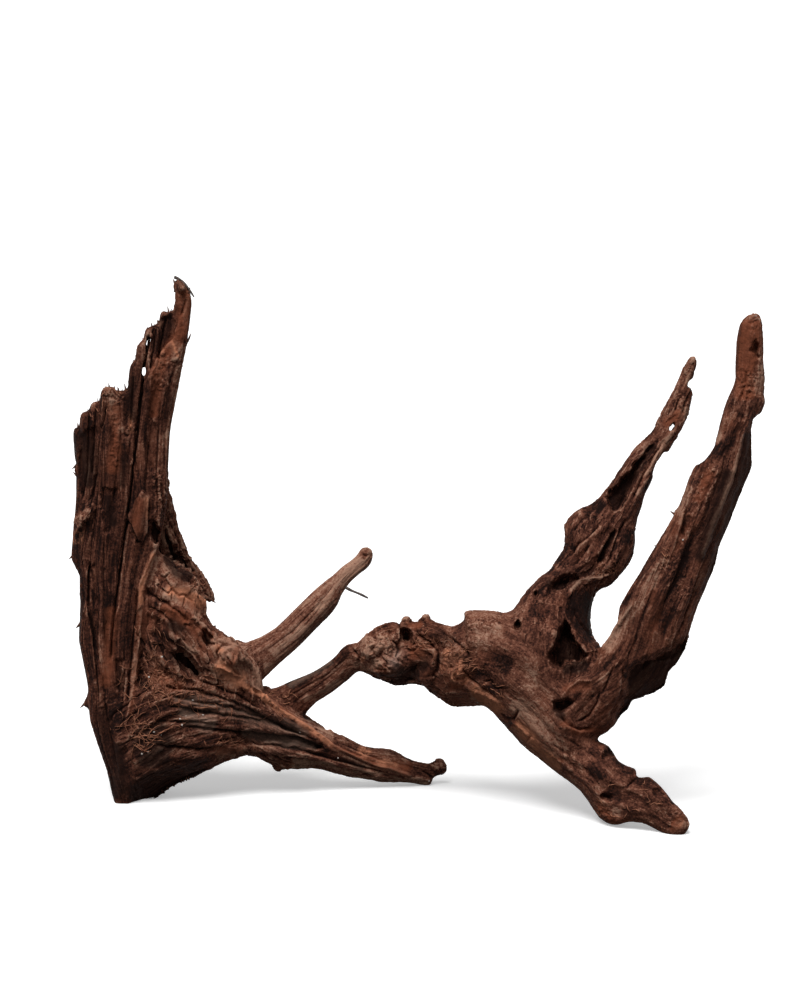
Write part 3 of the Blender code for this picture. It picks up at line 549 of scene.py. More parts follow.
# %% Strands: radius in steps, then across and down of each point of the line
STRANDS = (
    (3.4, 202,654, 219,667, 240,685, 257,695, 280,712, 303,728, 325,743, 345,753, 367,760),
    (4.0, 363,757, 385,765, 402,771, 417,777),
    (4.5, 158,678, 190,684, 220,694, 250,706, 280,717, 305,730, 328,746),
    (4.0, 150,694, 185,702, 220,709, 255,717, 285,724, 315,737),
    (4.5, 148,713, 180,717, 215,723, 250,727, 285,731, 320,742, 350,757),
    (5.0, 140,735, 175,739, 210,743, 245,747, 285,751, 325,759, 365,768, 402,774),
    (4.0, 130,753, 165,757, 200,755, 240,750), (4.0, 130,772, 155,772, 185,764, 212,756),
    (2.6, 157,549, 146,572, 141,600, 142,620, 138,650, 135,680, 132,706, 126,732),
    (5.0, 142,494, 140,515, 137,540), (5.0, 95,506, 86,516, 79,532, 78,556),
    (3.5, 121,604, 116,624, 112,645), (4.0, 92,560, 91,600, 94,650, 100,700, 112,745),
    (4.0, 112,655, 112,690, 116,725, 120,765), (4.0, 172,345, 166,380, 160,420, 158,460),
    (6.0, 160,588, 175,583, 190,589, 200,601, 203,612),
    (6.0, 152,606, 168,607, 185,613, 198,625, 209,640, 222,650),
    (5.5, 150,631, 165,629, 178,637, 190,647, 204,657, 214,665),
    (5.0, 148,653, 160,656, 171,666, 184,675, 206,680), (5.0, 212,642, 226,642, 239,652, 250,666, 257,680),
    (4.0, 549,591, 556,575, 572,570, 583,576), (4.0, 567,597, 578,584, 595,578, 612,575),
    (2.2, 566,595, 565,612, 573,630, 585,647, 600,653), (6.0, 560,700, 574,685, 594,680, 606,672),
    (3.2, 505,713, 530,736, 556,756, 580,778), (5.0, 554,718, 567,727, 588,733),
    (7.0, 596,677, 604,650, 618,628, 636,602, 654,572, 670,545, 686,512, 699,480),
    (6.0, 750,400, 744,428, 737,466, 723,500, 707,542, 694,580, 680,616),
    (5.0, 640,642, 652,612, 668,582, 682,549, 699,511, 713,479, 722,450),
    (5.0, 655,662, 668,632, 684,598, 697,562, 711,527), (4.0, 604,508, 617,488, 631,467, 646,447),
    (4.5, 624,517, 633,500, 643,479, 653,459, 664,441), (5.0, 573,546, 586,541, 599,531, 611,520),
    (4.0, 568,575, 585,561, 600,549, 613,531), (4.5, 600,573, 613,560, 623,545, 627,530),
    (4.0, 364,652, 378,643, 392,641, 400,650), (5.0, 367,665, 384,673, 400,670),
    (5.0, 412,630, 430,633, 446,641, 455,657), (4.0, 444,657, 450,673, 462,685, 480,691, 498,702),
    (5.0, 421,680, 432,669, 440,651), (3.4, 562,753, 585,766, 610,779, 640,793, 666,811),
    (2.8, 585,782, 604,799, 628,807, 653,818), (1.6, 250,655, 280,640, 300,620, 320,600, 341,577),
    (1.6, 286,694, 312,681, 332,669, 350,653), (2.8, 463,655, 459,665, 455,675, 451,684),
    (2.4, 444,668, 444,656, 448,649, 453,655, 451,666), (2.6, 447,686, 452,677, 459,669, 467,659),
    (2.4, 441,676, 440,664, 443,654, 449,651), (2.8, 443,690, 455,692, 468,691, 480,696),
)
FAR_SHIFT = (7, -5)
# The two sides from which the wood is drawn on: whether it is the far one, and the drawing's shift there
SIDES = ((False, (0, 0)), (True, FAR_SHIFT))
SIGHT_START = 400.0
STRAND_SINK = 0.35
print(len(STRANDS), "strands to draw")


# %% Lines laid on the skin
def as_points(numbers):
    """Rows of across and down from a flat row of numbers."""
    return np.reshape(numbers, (-1, 2)).astype(float)


def sight_hit(across, down, from_behind):
    """Where the line of sight through a sheet point first meets the skin, and the way it looks."""
    near = Vector(place(across, down, -SIGHT_START))
    far = Vector(place(across, down, SIGHT_START))
    if from_behind:
        near, far = far, near
    sight = (far - near).normalized()
    hit, spot, _, _ = wood.ray_cast(near, sight)
    return (np.array(spot) if hit else None), np.array(sight)


def strand_shell(radius, line):
    """A tube along a line on the skin, which swells from both ends as the square root of a half sine."""
    stations = np.linspace(0, len(line) - 1, 6 * len(line))
    middle = np.stack([np.interp(stations, np.arange(len(line)), line[:, k]) for k in range(3)], axis=1)
    for _ in range(3):
        middle[1:-1] = (middle[:-2] + 2 * middle[1:-1] + middle[2:]) / 4
    swell = np.sin(math.pi * np.linspace(0.10, 0.95, len(middle))) ** 0.5
    return closed_tube(tube_along(middle, radius * STEP * swell, 14))


strands = []
for from_behind, shift in SIDES:
    for radius, *line in STRANDS:
        hits = [sight_hit(x, y, from_behind) for x, y in as_points(line) + shift]
        line = [spot + sight * radius * STRAND_SINK * STEP for spot, sight in hits if spot is not None]
        if len(line) > 2:
            strands.append(strand_shell(radius, np.array(line)))
bm = bmesh.new()
bm.from_mesh(wood.data)
bm.from_mesh(mesh_of("strands", *joined(strands)))
bm.to_mesh(wood.data)
bm.free()
grow_together(wood, STRAND_CELL, 1)
print("strands", len(strands), "second skin", len(wood.data.vertices), "points")

# %% [markdown]
# ## Holes and notches
# A few holes go right through the thin places, and the outline has sharp steps where wood broke away. The
# holes are eggs leaned to the grain, set where the eye's ray meets the skin. A notch is a prism that runs
# along the line of sight, so that it cuts the outline just as it is drawn. Booleans take both away.

# %% Holes and notches
# Middle (across, down), half width, half height, half depth, lean, sink
HOLES = ((144, 371, 2.6, 7, 40, 4, 0), (148, 343, 2.4, 8, 40, 6, 0))
FAR_HOLES = (
    (196, 652, 16, 26, 20, 25, 2), (112, 640, 9, 52, 9, 0, 0), (540, 668, 24, 13, 16, -30, 0),
    (676, 588, 7, 46, 9, 24, 0), (604, 545, 7, 22, 9, 30, 0),
)
NOTCHES = (
    (702,638, 684,651, 677,663, 668,671, 665,684, 672,702, 700,700),
    (631,700, 640,697, 652,694, 662,690, 668,702, 640,714, 626,714),
    (600,649, 606,644, 613,634, 618,622, 620,606, 612,606, 604,628, 598,640),
    (158,294, 172,290, 173,309, 168,313, 158,308),
    (680,470, 692,466, 701,464, 709,456, 715,446, 716,434, 698,440),
    (751,421, 759,413, 770,420, 757,470, 751,460), (656,462, 664,451, 674,454, 662,476, 651,476),
    (606,733, 612,727, 622,724, 628,730, 612,742), (608,744, 615,742, 624,752, 620,764, 613,753),
    (636,777, 636,762, 643,764, 655,776, 642,778), (206,601, 218,602, 214,612, 205,612),
    (60,562, 72,560, 80,575, 80,604, 70,606), (668,429, 670,425, 674,421, 676,423, 673,430, 670,433),
    (698,374, 692,379, 688,382, 687,386, 690,388, 694,389, 702,386),
    (173,289, 176,289, 176,300, 174,311, 168,311, 166,296),
)


def egg(hole, from_behind):
    """A ball scaled to the hole's three half sizes, slightly lobed by two sines of the angle round the
    line of sight, and leaned about that line."""
    across, down, half_wide, half_high, half_deep, lean, sink = hole
    spot, sight = sight_hit(across, down, from_behind)
    if spot is None:
        return None
    grid = ball(np.zeros(3), 1.0, 40)[..., [1, 2, 0]]
    angle = np.arctan2(grid[..., 1], grid[..., 0])[..., None]
    grid = grid * (1 + 0.06 * (np.sin(2 * angle + across) + np.sin(3 * angle + down)))
    grid = grid * np.array((half_wide, half_high, half_deep)) * STEP
    side = np.array((1.0, 0.0, 0.0))
    axes = np.stack([side, np.cross(sight, side), sight])
    turn = np.array(Matrix.Rotation(math.radians(lean), 3, Vector(sight)))
    return closed_tube((grid @ axes) @ turn.T + spot + sight * sink * STEP)


def notch(outline):
    """A prism along the line of sight: the same outline carried far in front of the wood and far behind."""
    rim = as_points(outline)
    ends = [place(rim[:, 0], rim[:, 1], behind) for behind in (-SIGHT_START, SIGHT_START)]
    return closed_tube(np.stack(ends))


def found(shells):
    """The shells that were made: where a ray misses the wood there is none."""
    return [shell for shell in shells if shell is not None]


bites = found([egg(hole, False) for hole in HOLES] + [egg(hole, True) for hole in FAR_HOLES])
bites += [notch(outline) for outline in NOTCHES]
cutters = bpy.data.collections.new("bites")
for number, shell in enumerate(bites):
    cutters.objects.link(bpy.data.objects.new(f"bite_{number}", mesh_of(f"bite_{number}", *shell)))
cut = wood.modifiers.new("bites", "BOOLEAN")
cut.operation = "DIFFERENCE"
cut.solver = "MANIFOLD"
cut.operand_type = "COLLECTION"
cut.collection = cutters
grow_together(wood, BITE_CELL, 1)
for cutter in list(cutters.objects):
    bpy.data.objects.remove(cutter)
bpy.data.collections.remove(cutters)
print("bites", len(bites), "third skin", len(wood.data.vertices), "points")

# %% [markdown]
# ## Value noise
# Ragged rims, fibres and blotches all come from one formula. Value noise gives each corner of a lattice a
# fixed random height and blends the eight corners of a cell smoothly. Stretched along the grain it makes
# fibres, left round it makes pits, and it gives the same wood on every run.


# %% Value noise as arrays
def lattice(ix, iy, iz, seed):
    """A fixed random height between 0 and 1 for each lattice point: its numbers are multiplied by large
    primes, mixed by shifts, and the high bits are taken as a fraction."""
    h = (ix.astype(np.uint32) * np.uint32(374761393) + iy.astype(np.uint32) * np.uint32(668265263)
         + iz.astype(np.uint32) * np.uint32(2246822519) + np.uint32(seed * 3266489917 % 4294967296))
    h = (h ^ (h >> np.uint32(13))) * np.uint32(1274126177)
    h = (h ^ (h >> np.uint32(16))) * np.uint32(2654435761)
    return (h >> np.uint32(8)).astype(np.float32) / np.float32(16777216)


def noise(coords, seed=0):
    """Smooth value noise between 0 and 1 at rows of coordinates, one lattice cell a unit."""
    base = np.floor(coords)
    s = (coords - base).astype(np.float32)
    s = s * s * (3 - 2 * s)
    cell = base.astype(np.int64)
    total = 0
    for dx in (0, 1):
        for dy in (0, 1):
            for dz in (0, 1):
                weight = (s[:, 0] if dx else 1 - s[:, 0]) * (s[:, 1] if dy else 1 - s[:, 1])
                weight = weight * (s[:, 2] if dz else 1 - s[:, 2])
                total = total + weight * lattice(cell[:, 0] + dx, cell[:, 1] + dy, cell[:, 2] + dz, seed)
    return total


def cloudy(coords, octaves, seed=0):
    """Noise summed over octaves, each twice as fine and half as high as the one before."""
    total = 0
    for octave in range(octaves):
        total = total + noise(coords * 2.0**octave, seed + octave) / 2.0**octave
    return total / (2 - 2.0 ** (1 - octaves))


RAGGED_SIZE = 7.0


def warped(across, down, push):
    """Sheet places pushed about by slow noise, so that whatever is drawn with them gets a ragged rim."""
    flat = np.stack([across, down, 0 * down], 1) / RAGGED_SIZE
    return across + push * (cloudy(flat, 2, 900) - 0.5), down + push * (cloudy(flat, 2, 950) - 0.5)


def between(value, low, high):
    """Smooth step from 0 at `low` to 1 at `high`."""
    t = np.clip((value - low) / (high - low), 0, 1)
    return t * t * (3 - 2 * t)


print("noise is ready")

# %% [markdown]
# ## Pockets and planes
# Rot has eaten caves and troughs, and boards have split off in flat planes. Each is an outline on the
# sheet. The skin that the eye sees inside it is pushed away along the line of sight, by a depth that grows
# smoothly from the rim. A pocket has a narrow rim, a plane a wide one, and a flake is pushed towards the
# eye. This keeps the drawn shape of the rim, which a ball-shaped cutter can't give.
# %% Which points are in view
CELL = 4
LEAST_FACING = 0.02
STILL_SEEN = 12


def in_view(across, down, depth, facing):
    """True where a point faces the eye and is not more than a few steps behind the nearest one in its cell
    of a coarse depth map."""
    column = np.clip((across / CELL).astype(int), 0, SHEET_WIDTH // CELL)
    line = np.clip((down / CELL).astype(int), 0, SHEET_HEIGHT // CELL)
    nearest = np.full((SHEET_HEIGHT // CELL + 2, SHEET_WIDTH // CELL + 2), np.inf)
    np.minimum.at(nearest, (line, column), depth)
    return (facing > LEAST_FACING) & (depth < nearest[line, column] + STILL_SEEN)


def read(items, name, width, kind=np.float32):
    """One property of all vertices, edges or polygons of a mesh as an array."""
    values = np.empty(len(items) * width, kind)
    items.foreach_get(name, values)
    return values.reshape(-1, width) if width > 1 else values


def sight_of(points, normals):
    """Sheet places of the points, their sight directions, and who sees them: the eye, or the same eye from
    the far side."""
    across, down, depth = on_sheet(points)
    sights = points - EYE_SPOT
    sights /= np.linalg.norm(sights, axis=1)[:, None]
    facing = -(normals * sights).sum(1)
    return across, down, sights, in_view(across, down, depth, facing), in_view(across, down, -depth, -facing)


# %% Pockets: depth in steps, rim in steps, then the outline
POCKETS = (
    # the cave between the arms, its floor, the pocket under the lip
    (34, 5, 566,617, 579,640, 590,656, 584,662, 560,671, 549,664, 547,653, 558,630),
    (11, 4, 568,664, 576,659, 586,661, 584,671, 571,674),
    (15, 5, 550,701, 558,697, 568,698, 577,702, 571,709, 560,715, 552,712),
    # the scoop, the long trough and the groove of the thin arm
    (12, 9, 543,592, 548,579, 560,573, 577,573, 583,580, 574,588, 563,594, 549,598),
    (15, 5, 653,440, 603,498, 605,508, 612,514, 621,511, 629,501, 633,487, 641,468, 654,447),
    (5, 6, 612,527, 620,530, 613,548, 606,561, 598,568, 594,558, 602,541),
    # the fin's recess, the dark hole beside the slab, the heart's hollows
    (10, 6, 166,530, 175,545, 184,553, 191,562, 193,571, 187,576, 179,573, 171,564, 164,548),
    (14, 3, 149,521, 156,517, 161,530, 159,544, 152,547, 148,534),
    (20, 5, 168,651, 177,646, 188,651, 197,661, 206,674, 199,680, 187,676, 176,665),
    (10, 4, 199,629, 207,628, 214,636, 215,646, 207,649, 200,640),
    (5, 10, 146,614, 160,610, 170,622, 171,640, 160,648, 148,640),
    # the neck's hole and arch
    (20, 3, 399,629, 403,626, 411,628, 414,635, 411,643, 405,646, 399,642),
    (12, 8, 382,678, 396,671, 408,663, 420,659, 424,664, 420,672, 418,682, 404,690, 386,690),
    # the body's holes, the fan's trough, small pits
    (12, 2, 513,623, 518,617, 523,623, 521,632, 514,632),
    (8, 2, 533,592, 536,588, 540,592, 538,598, 533,597),
    (5, 4, 234,727, 300,736, 321,741, 327,751, 300,749, 270,744, 240,742),
    (9, 2.5, 751,344, 756,340, 760,348, 759,359, 755,362, 751,353),
    (7, 2.5, 599,796, 606,792, 614,796, 612,802, 602,802),
    (5, 3, 650,787, 660,786, 668,795, 660,799, 652,795),
    # planes that turn away: the thick arm's right face, its base, its rear strip, the fan's underside
    (14, 20, 745,424, 737,472, 705,557, 694,620, 800,620, 800,424),
    (16, 6, 706,620, 690,632, 668,645, 636,660, 624,668, 622,690, 612,716, 600,760, 740,760, 740,620),
    (6, 5, 640,672, 654,662, 672,660, 684,652, 690,640, 676,642, 640,662),
    (6, 4, 650,560, 668,534, 664,528, 640,540, 640,562),
    (18, 16, 122,830, 132,780, 150,768, 176,763, 226,757, 262,772, 262,800, 200,830),
    (4.8, 10, 436,696, 450,693, 470,697, 490,707, 470,730, 430,720),
    # planes of the slab: the dark plate at its top, a dark triangle, a dark stave, the left edge
    (4, 2, 150,334, 158,319, 168,313, 177,320, 174,336, 157,362, 150,370, 147,352),
    (4, 2, 101,488, 118,487, 117,505, 111,536, 104,530, 100,508),
    (4, 1.5, 115,661, 124,658, 125,690, 119,697, 115,690), (4, 3, 80,432, 100,424, 92,500, 82,508, 78,470),
    (3, 2, 88,566, 96,562, 102,650, 98,668, 92,640, 87,606),
    # flakes that stand proud
    (-4, 2, 143,489, 126,520, 130,532, 141,544, 150,536, 151,514, 150,500),
    (-4, 3, 72,524, 92,503, 97,509, 90,520, 72,540),
    (-3, 2, 171,339, 149,372, 147,392, 157,434, 170,380, 179,358),
    (-3, 6, 441,654, 448,647, 468,667, 467,686, 452,691, 444,678),
    (3, 6, 434,634, 442,632, 441,650, 443,668, 438,680, 433,668, 434,650),
    (-3, 6, 360,650, 368,636, 382,628, 396,632, 394,650, 366,668),
)
print(len(POCKETS), "pockets and planes")

# %% Pushing the skin in
POCKET_RAGGED = 5.0
FAR_PUSH = -0.6


def in_box(across, down, rim, reach=0):
    """Numbers of the sheet places that lie within `reach` of the box round some points."""
    low = rim.min(0) - reach
    high = rim.max(0) + reach
    return np.flatnonzero((across > low[0]) & (across < high[0]) & (down > low[1]) & (down < high[1]))


def inside_distance(across, down, outline):
    """Points inside an outline and how far inside they lie: a point is inside where a level line from it
    crosses the outline an odd number of times, and its distance is the least one to the edges."""
    rim = as_points(outline)
    here = in_box(across, down, rim)
    x = across[here]
    y = down[here]
    odd = np.zeros(len(here), bool)
    best = np.full(len(here), np.inf)
    for (x0, y0), (x1, y1) in zip(rim, np.roll(rim, -1, axis=0)):
        if y0 != y1:
            odd ^= ((y0 > y) != (y1 > y)) & (x < (x1 - x0) * (y - y0) / (y1 - y0) + x0)
        along = (x - x0) * (x1 - x0) + (y - y0) * (y1 - y0)
        share = np.clip(along / ((x1 - x0) ** 2 + (y1 - y0) ** 2), 0, 1)
        best = np.minimum(best, np.hypot(x - x0 - share * (x1 - x0), y - y0 - share * (y1 - y0)))
    return here[odd], best[odd]


mesh = wood.data
points = read(mesh.vertices, "co", 3).astype(float)
normals = read(mesh.vertices, "normal", 3).astype(float)
across, down, sights, front, rear = sight_of(points, normals)
ragged_across, ragged_down = warped(across, down, POCKET_RAGGED)
push = np.zeros(len(points))
for seen, shift, way in ((front, (0, 0), 1.0), (rear, FAR_SHIFT, FAR_PUSH)):
    for depth, rim, *outline in POCKETS:
        here, inside = inside_distance(ragged_across - shift[0], ragged_down - shift[1], outline)
        push[here] += way * depth * between(inside, 0, rim) * seen[here]
points += sights * (push * STEP)[:, None]
mesh.vertices.foreach_set("co", points.astype(np.float32).ravel())
mesh.update()
grow_together(wood, SKIN_CELL, 1)
print("fine skin", len(wood.data.vertices), "points")

# %% [markdown]
# ## The skin as arrays
# From here on the skin is worked as numpy arrays: a point is a row, and smoothing, cracks and stains are
# sums over rows. That is quicker and easier to repeat exactly than sculpting by hand.

# %% Arrays of the fine skin
mesh = wood.data
points = read(mesh.vertices, "co", 3).astype(float)
quads = read(mesh.loops, "vertex_index", 1, np.int32).reshape(-1, 4)
edges = read(mesh.edges, "vertices", 2, np.int32)
degree = np.bincount(edges.ravel(), minlength=len(points)).astype(float)


def largest_shell(count, edges):
    """Marks the points of the largest connected shell: every point takes the lowest number among its
    neighbours, again and again with jumps, until nothing changes."""
    label = np.arange(count)
    while True:
        low = np.minimum(label[edges[:, 0]], label[edges[:, 1]])
        new = label.copy()
        np.minimum.at(new, edges[:, 0], low)
        np.minimum.at(new, edges[:, 1], low)
        new = new[new]
        if np.array_equal(new, label):
            break
        label = new
    values, counts = np.unique(label, return_counts=True)
    return label == values[np.argmax(counts)]


kept = largest_shell(len(points), edges)
number = np.cumsum(kept) - 1
points = points[kept]
quads = number[quads[kept[quads[:, 0]]]]
edges = number[edges[kept[edges[:, 0]]]]
degree = degree[kept]
print("points", len(points), "quads", len(quads), "dropped", int((~kept).sum()))


def eased(values, times):
    """Each point's value replaced by the mean of its own and of its neighbours' mean, so many times."""
    flat = values.reshape(len(values), -1).copy()
    for _ in range(times):
        for k in range(flat.shape[1]):
            total = np.bincount(edges[:, 0], flat[edges[:, 1], k], len(flat))
            total += np.bincount(edges[:, 1], flat[edges[:, 0], k], len(flat))
            flat[:, k] = (flat[:, k] + total / degree) / 2
    return flat.reshape(values.shape)


def diagonals_crossed(points):
    """The cross product of each quad's diagonals, which is its outward normal times twice its area."""
    return np.cross(points[quads[:, 2]] - points[quads[:, 0]], points[quads[:, 3]] - points[quads[:, 1]])


def normals_of(points):
    """Outward normals: the crossed diagonals of the quads, summed at their corners."""
    face = diagonals_crossed(points)
    total = np.zeros_like(points)
    for k in range(3):
        for corner in range(4):
            total[:, k] += np.bincount(quads[:, corner], face[:, k], len(points))
    return total / (np.linalg.norm(total, axis=1)[:, None] + 1e-20)


normals = normals_of(points)
volume = (points[quads[:, 0]] * diagonals_crossed(points)).sum() / 6
print("volume", round(volume * 1e6), "cubic centimetres")

# %% [markdown]
# ## Grain coordinates
# Wood looks like wood because everything on it, fibres, furrows and stains, runs along the limb. So each
# point is given its place in each limb's own terms: how far along the middle line, and how far to the side
# and to the back of it. How near a limb is, in shares of its thickness, decides how much it counts there,
# so that the grain of two limbs blends where they meet.

# %% Middle lines, frames and places along each limb
GRAIN_STATIONS = 70
# How far past its ends a limb still counts, how softly it stops there, how sharply limbs are told apart,
# the least weight that counts, and how often the weights are eased
END_SLACK = 3 * MM
END_SOFTNESS = 8 * MM
BLEND_SHARPNESS = 7.0
LEAST_WEIGHT = 0.02
BLEND_EASE = 8
limb_names = list(LIMB_STATIONS) + ["slab"]
SLAB_TALL = SLAB_DOWN[-1] - SLAB_DOWN[0]
slab_rows = [(left, down, right, down, 6, 8 + STAVE_GAIN * (down - SLAB_DOWN[0]) / SLAB_TALL)
             for down, left, right in zip(SLAB_DOWN[2:], SLAB_LEFT[2:], SLAB_RIGHT[2:])]
grain_rows = dict(LIMB_STATIONS, slab=slab_rows, fan=LIMB_STATIONS["fan"][1:])


def limb_places(name):
    """For every point: its distance along the limb's middle line, its offsets to the side and to the back,
    all in metres, and its nearness, the length of the two offsets in shares of the half sizes."""
    rows = smooth_rows(grain_rows[name], GRAIN_STATIONS)
    first = place(rows[:, 0], rows[:, 1], rows[:, 4])
    last = place(rows[:, 2], rows[:, 3], rows[:, 4])
    middle = (first + last) / 2
    along = np.gradient(middle, axis=0)
    travel = np.concatenate([[0], np.cumsum(np.linalg.norm(np.diff(middle, axis=0), axis=1))])
    along /= np.linalg.norm(along, axis=1)[:, None]
    side = last - first
    half_width = np.linalg.norm(side, axis=1) / 2
    side -= (side * along).sum(1)[:, None] * along
    side /= np.linalg.norm(side, axis=1)[:, None]
    back = np.cross(side, along)
    spans = ((points**2).sum(1)[:, None] - 2 * points @ middle.T + (middle**2).sum(1)).astype(np.float32)
    near = spans.argmin(1)
    offset = points - middle[near]
    run = (offset * along[near]).sum(1)
    a = (offset * side[near]).sum(1)
    b = (offset * back[near]).sum(1)
    half_depth = rows[near, 5] * STEP
    beyond = np.maximum(np.abs(run) - END_SLACK, 0) / END_SOFTNESS
    nearness = np.sqrt((a / half_width[near]) ** 2 + (b / half_depth) ** 2 + beyond**2)
    if name == "slab":
        a = a / half_width[near] * half_width.mean()
    return np.stack([travel[near] + run, a, b], 1), nearness


places = {}
nearness = np.empty((len(limb_names), len(points)))
for row, name in enumerate(limb_names):
    places[name], nearness[row] = limb_places(name)
weights = np.exp(-BLEND_SHARPNESS * (nearness - nearness.min(axis=0)))
weights = np.maximum(weights - LEAST_WEIGHT, 0)
weights /= weights.sum(axis=0)
weights = eased(weights.T, BLEND_EASE).T
main_limb = weights.argmax(axis=0)
for row, name in enumerate(limb_names):
    print(name, "holds", int((main_limb == row).sum()), "points")

# %% [markdown]
# ## Grain relief
# Each limb has its own manner: the slab and the fan are split into long hard fibres, the branches are
# nearly smooth, the neck is rough and pitted, the arms flow in broad ribs. The relief is stretched noise,
# folded so that its furrows are sharp, in three sizes, with the side offsets pushed about by a slow noise
# so that the fibres waver.

# %% Relief of each limb
# In millimetres, but for the third: fibre height and spacing, how many times longer than wide, heights of
# pits, split plates, crumpled folds and chips, the chips' size, depth of splits
MANNERS = {
    "slab": (0.5, 1.6, 36, 0.25, 1.2, 0.0, 0.5, 5.0, 1.2),
    "fan": (1.5, 2.3, 26, 0.3, 0.7, 0.3, 0.8, 3.4, 1.6),
    "fin": (1.5, 1.9, 16, 0.3, 0.6, 0.5, 1.1, 2.8, 1.5),
    "heart": (0.8, 2.0, 10, 0.8, 1.7, 0.7, 1.6, 4.6, 1.3),
    "upper_branch": (0.45, 1.3, 40, 0.1, 0.15, 0.0, 0.2, 3.0, 0.5),
    "middle_branch": (0.4, 1.5, 34, 0.15, 0.4, 0.0, 0.4, 3.0, 0.5),
    "neck": (0.5, 1.8, 6, 1.5, 0.6, 0.8, 0.9, 3.2, 0.6),
    "foot": (0.3, 1.8, 10, 0.6, 0.4, 0.3, 0.4, 2.8, 0.3),
    "thin_arm": (0.8, 2.2, 14, 0.5, 0.5, 0.7, 0.8, 3.2, 0.7),
    "thick_arm": (0.5, 2.4, 26, 0.35, 0.8, 0.4, 0.5, 3.8, 0.7),
}
FIBRE_STRETCH = {name: manner[2] for name, manner in MANNERS.items()}
# Sizes in millimetres
FOLD_SIZE = 8.5
LAYER_SIZE = (60.0, 8.0, 8.0)
PIT_SIZE = 2.6
# How many fibre spacings lie between two splits, and what chips and thick layers add to the tone
SPLIT_SPACING = 2.6
CHIP_TONE = 0.25
LAYERED_FROM = 0.35
# The least weight with which a limb's own relief is worked out
WORTH_WORKING = 0.01


def wavering(stretched, seed):
    """Coordinates whose two side offsets waver along the limb."""
    slow = stretched * (0.8, 0.30, 0.30)
    waver = np.stack([noise(slow + 7.3, seed + 11), noise(slow + 31.7, seed + 12)], 1) - 0.5
    return stretched + np.concatenate([np.zeros((len(waver), 1)), 1.6 * waver], 1)


def folds(coords, seed):
    """Height between 0 and 1 with sharp furrows: the root of the distance from the fold of noise, over
    three sizes."""
    total = 0
    for octave, height in enumerate((0.5, 0.32, 0.18)):
        total = total + height * np.sqrt(np.abs(2 * noise(coords * (1.9**octave), seed + octave) - 1))
    return total


def plates(coords, seed):
    """Flat levels with sharp steps between them, like split layers: noise times five, rounded down, with
    a short ramp just before the next level."""
    level = 5 * cloudy(coords, 2, seed)
    return (np.floor(level) + between(level - np.floor(level), 0.86, 1.0)) / 5


def chips(coords, seed):
    """Flat chips at different heights and tilts: every lattice cell holds a seed point at a random place, a
    place belongs to the nearest of the eight seeds round it, and its height is a random one of that seed
    plus its offset from the seed times the seed's own slope."""
    cell = np.floor(coords - 0.5).astype(np.int64)
    least = np.full(len(coords), np.inf)
    chosen = np.zeros_like(cell)
    offset = np.zeros_like(coords)
    for step in np.ndindex(2, 2, 2):
        near = cell + step
        thrown = 0.7 * np.stack([lattice(*near.T, seed + k) for k in range(3)], 1)
        away = coords - near - 0.15 - thrown
        gap = (away**2).sum(1)
        closer = gap < least
        least[closer] = gap[closer]
        chosen[closer] = near[closer]
        offset[closer] = away[closer]
    slope = np.stack([lattice(*chosen.T, seed + 5 + k) for k in range(3)], 1) - 0.5
    return lattice(*chosen.T, seed + 9) - 0.5 + 1.4 * (slope * offset).sum(1)


def splits(coords, seed):
    """Narrow clefts far apart, 1 in their middle: where noise comes near one half, while a slower noise
    lets them run."""
    runs = between(noise(coords * (0.7, 0.45, 0.45) + 5.1, seed + 1), 0.42, 0.60)
    return runs * (1 - between(np.abs(2 * noise(coords, seed) - 1), 0.02, 0.20))


lift = np.zeros(len(points))
layer_tone = np.zeros(len(points))
for row, name in enumerate(limb_names):
    height, spacing, stretch, pit, plate, crumple, chip, chip_size, split = MANNERS[name]
    here = np.flatnonzero(weights[row] > WORTH_WORKING)
    spot = places[name][here] / MM
    lengthwise = np.array((stretch, 1.0, 1.0))
    layers = plates(wavering(spot / LAYER_SIZE, 20 * row + 7), 300 + row)
    pits = np.clip(cloudy(points[here] / (PIT_SIZE * MM), 3, 500 + row) * 2.6 - 1.5, 0, 1)
    broken_off = chips(wavering(spot / (chip_size * lengthwise**0.5), 20 * row + 9), 600 + row)
    made = height * folds(wavering(spot / (spacing * lengthwise), 20 * row), 20 * row) - pit * pits
    made += plate * layers + chip * broken_off
    fold_size = (1.6 * FOLD_SIZE, FOLD_SIZE, FOLD_SIZE)
    made += crumple * folds(wavering(spot / fold_size, 20 * row + 3), 400 + row)
    split_size = SPLIT_SPACING * spacing * lengthwise**0.9
    made -= split * splits(wavering(spot / split_size, 20 * row + 5), 800 + 2 * row)
    lift[here] += weights[row, here] * (made - made.mean()) * MM
    toned = (layers - layers.mean()) * (plate > LAYERED_FROM) + CHIP_TONE * chip * broken_off
    layer_tone[here] += weights[row, here] * toned
print("relief from", (lift.min() / MM).round(2), "to", (lift.max() / MM).round(2), "mm")

# %% [markdown]
# ## What the eye sees
# Cracks, ridges and stains are drawn on the sheet as well, so a stroke must only touch the surface that is
# seen there, not what lies behind it. The far side takes the same strokes, a little shifted, as the back
# of such a root is as cracked as its front.

# %% Points in view of the fine skin
smooth_normals = normals_of(eased(points, 6))
across, down, _, front, rear = sight_of(points, smooth_normals)
front_share = eased(front.astype(float), 2)
back_share = eased(rear.astype(float), 2)
STROKE_WANDER = 3.5
STEADY_STRETCH = 10
steadiness = [min(STEADY_STRETCH / FIBRE_STRETCH[name], 1.0) for name in limb_names]
wander = sum(weights[row] * share for row, share in enumerate(steadiness))
drawn_across, drawn_down = warped(across, down, STROKE_WANDER * wander)
print("in view", int(front.sum()), "seen from behind", int(rear.sum()), "of", len(points))

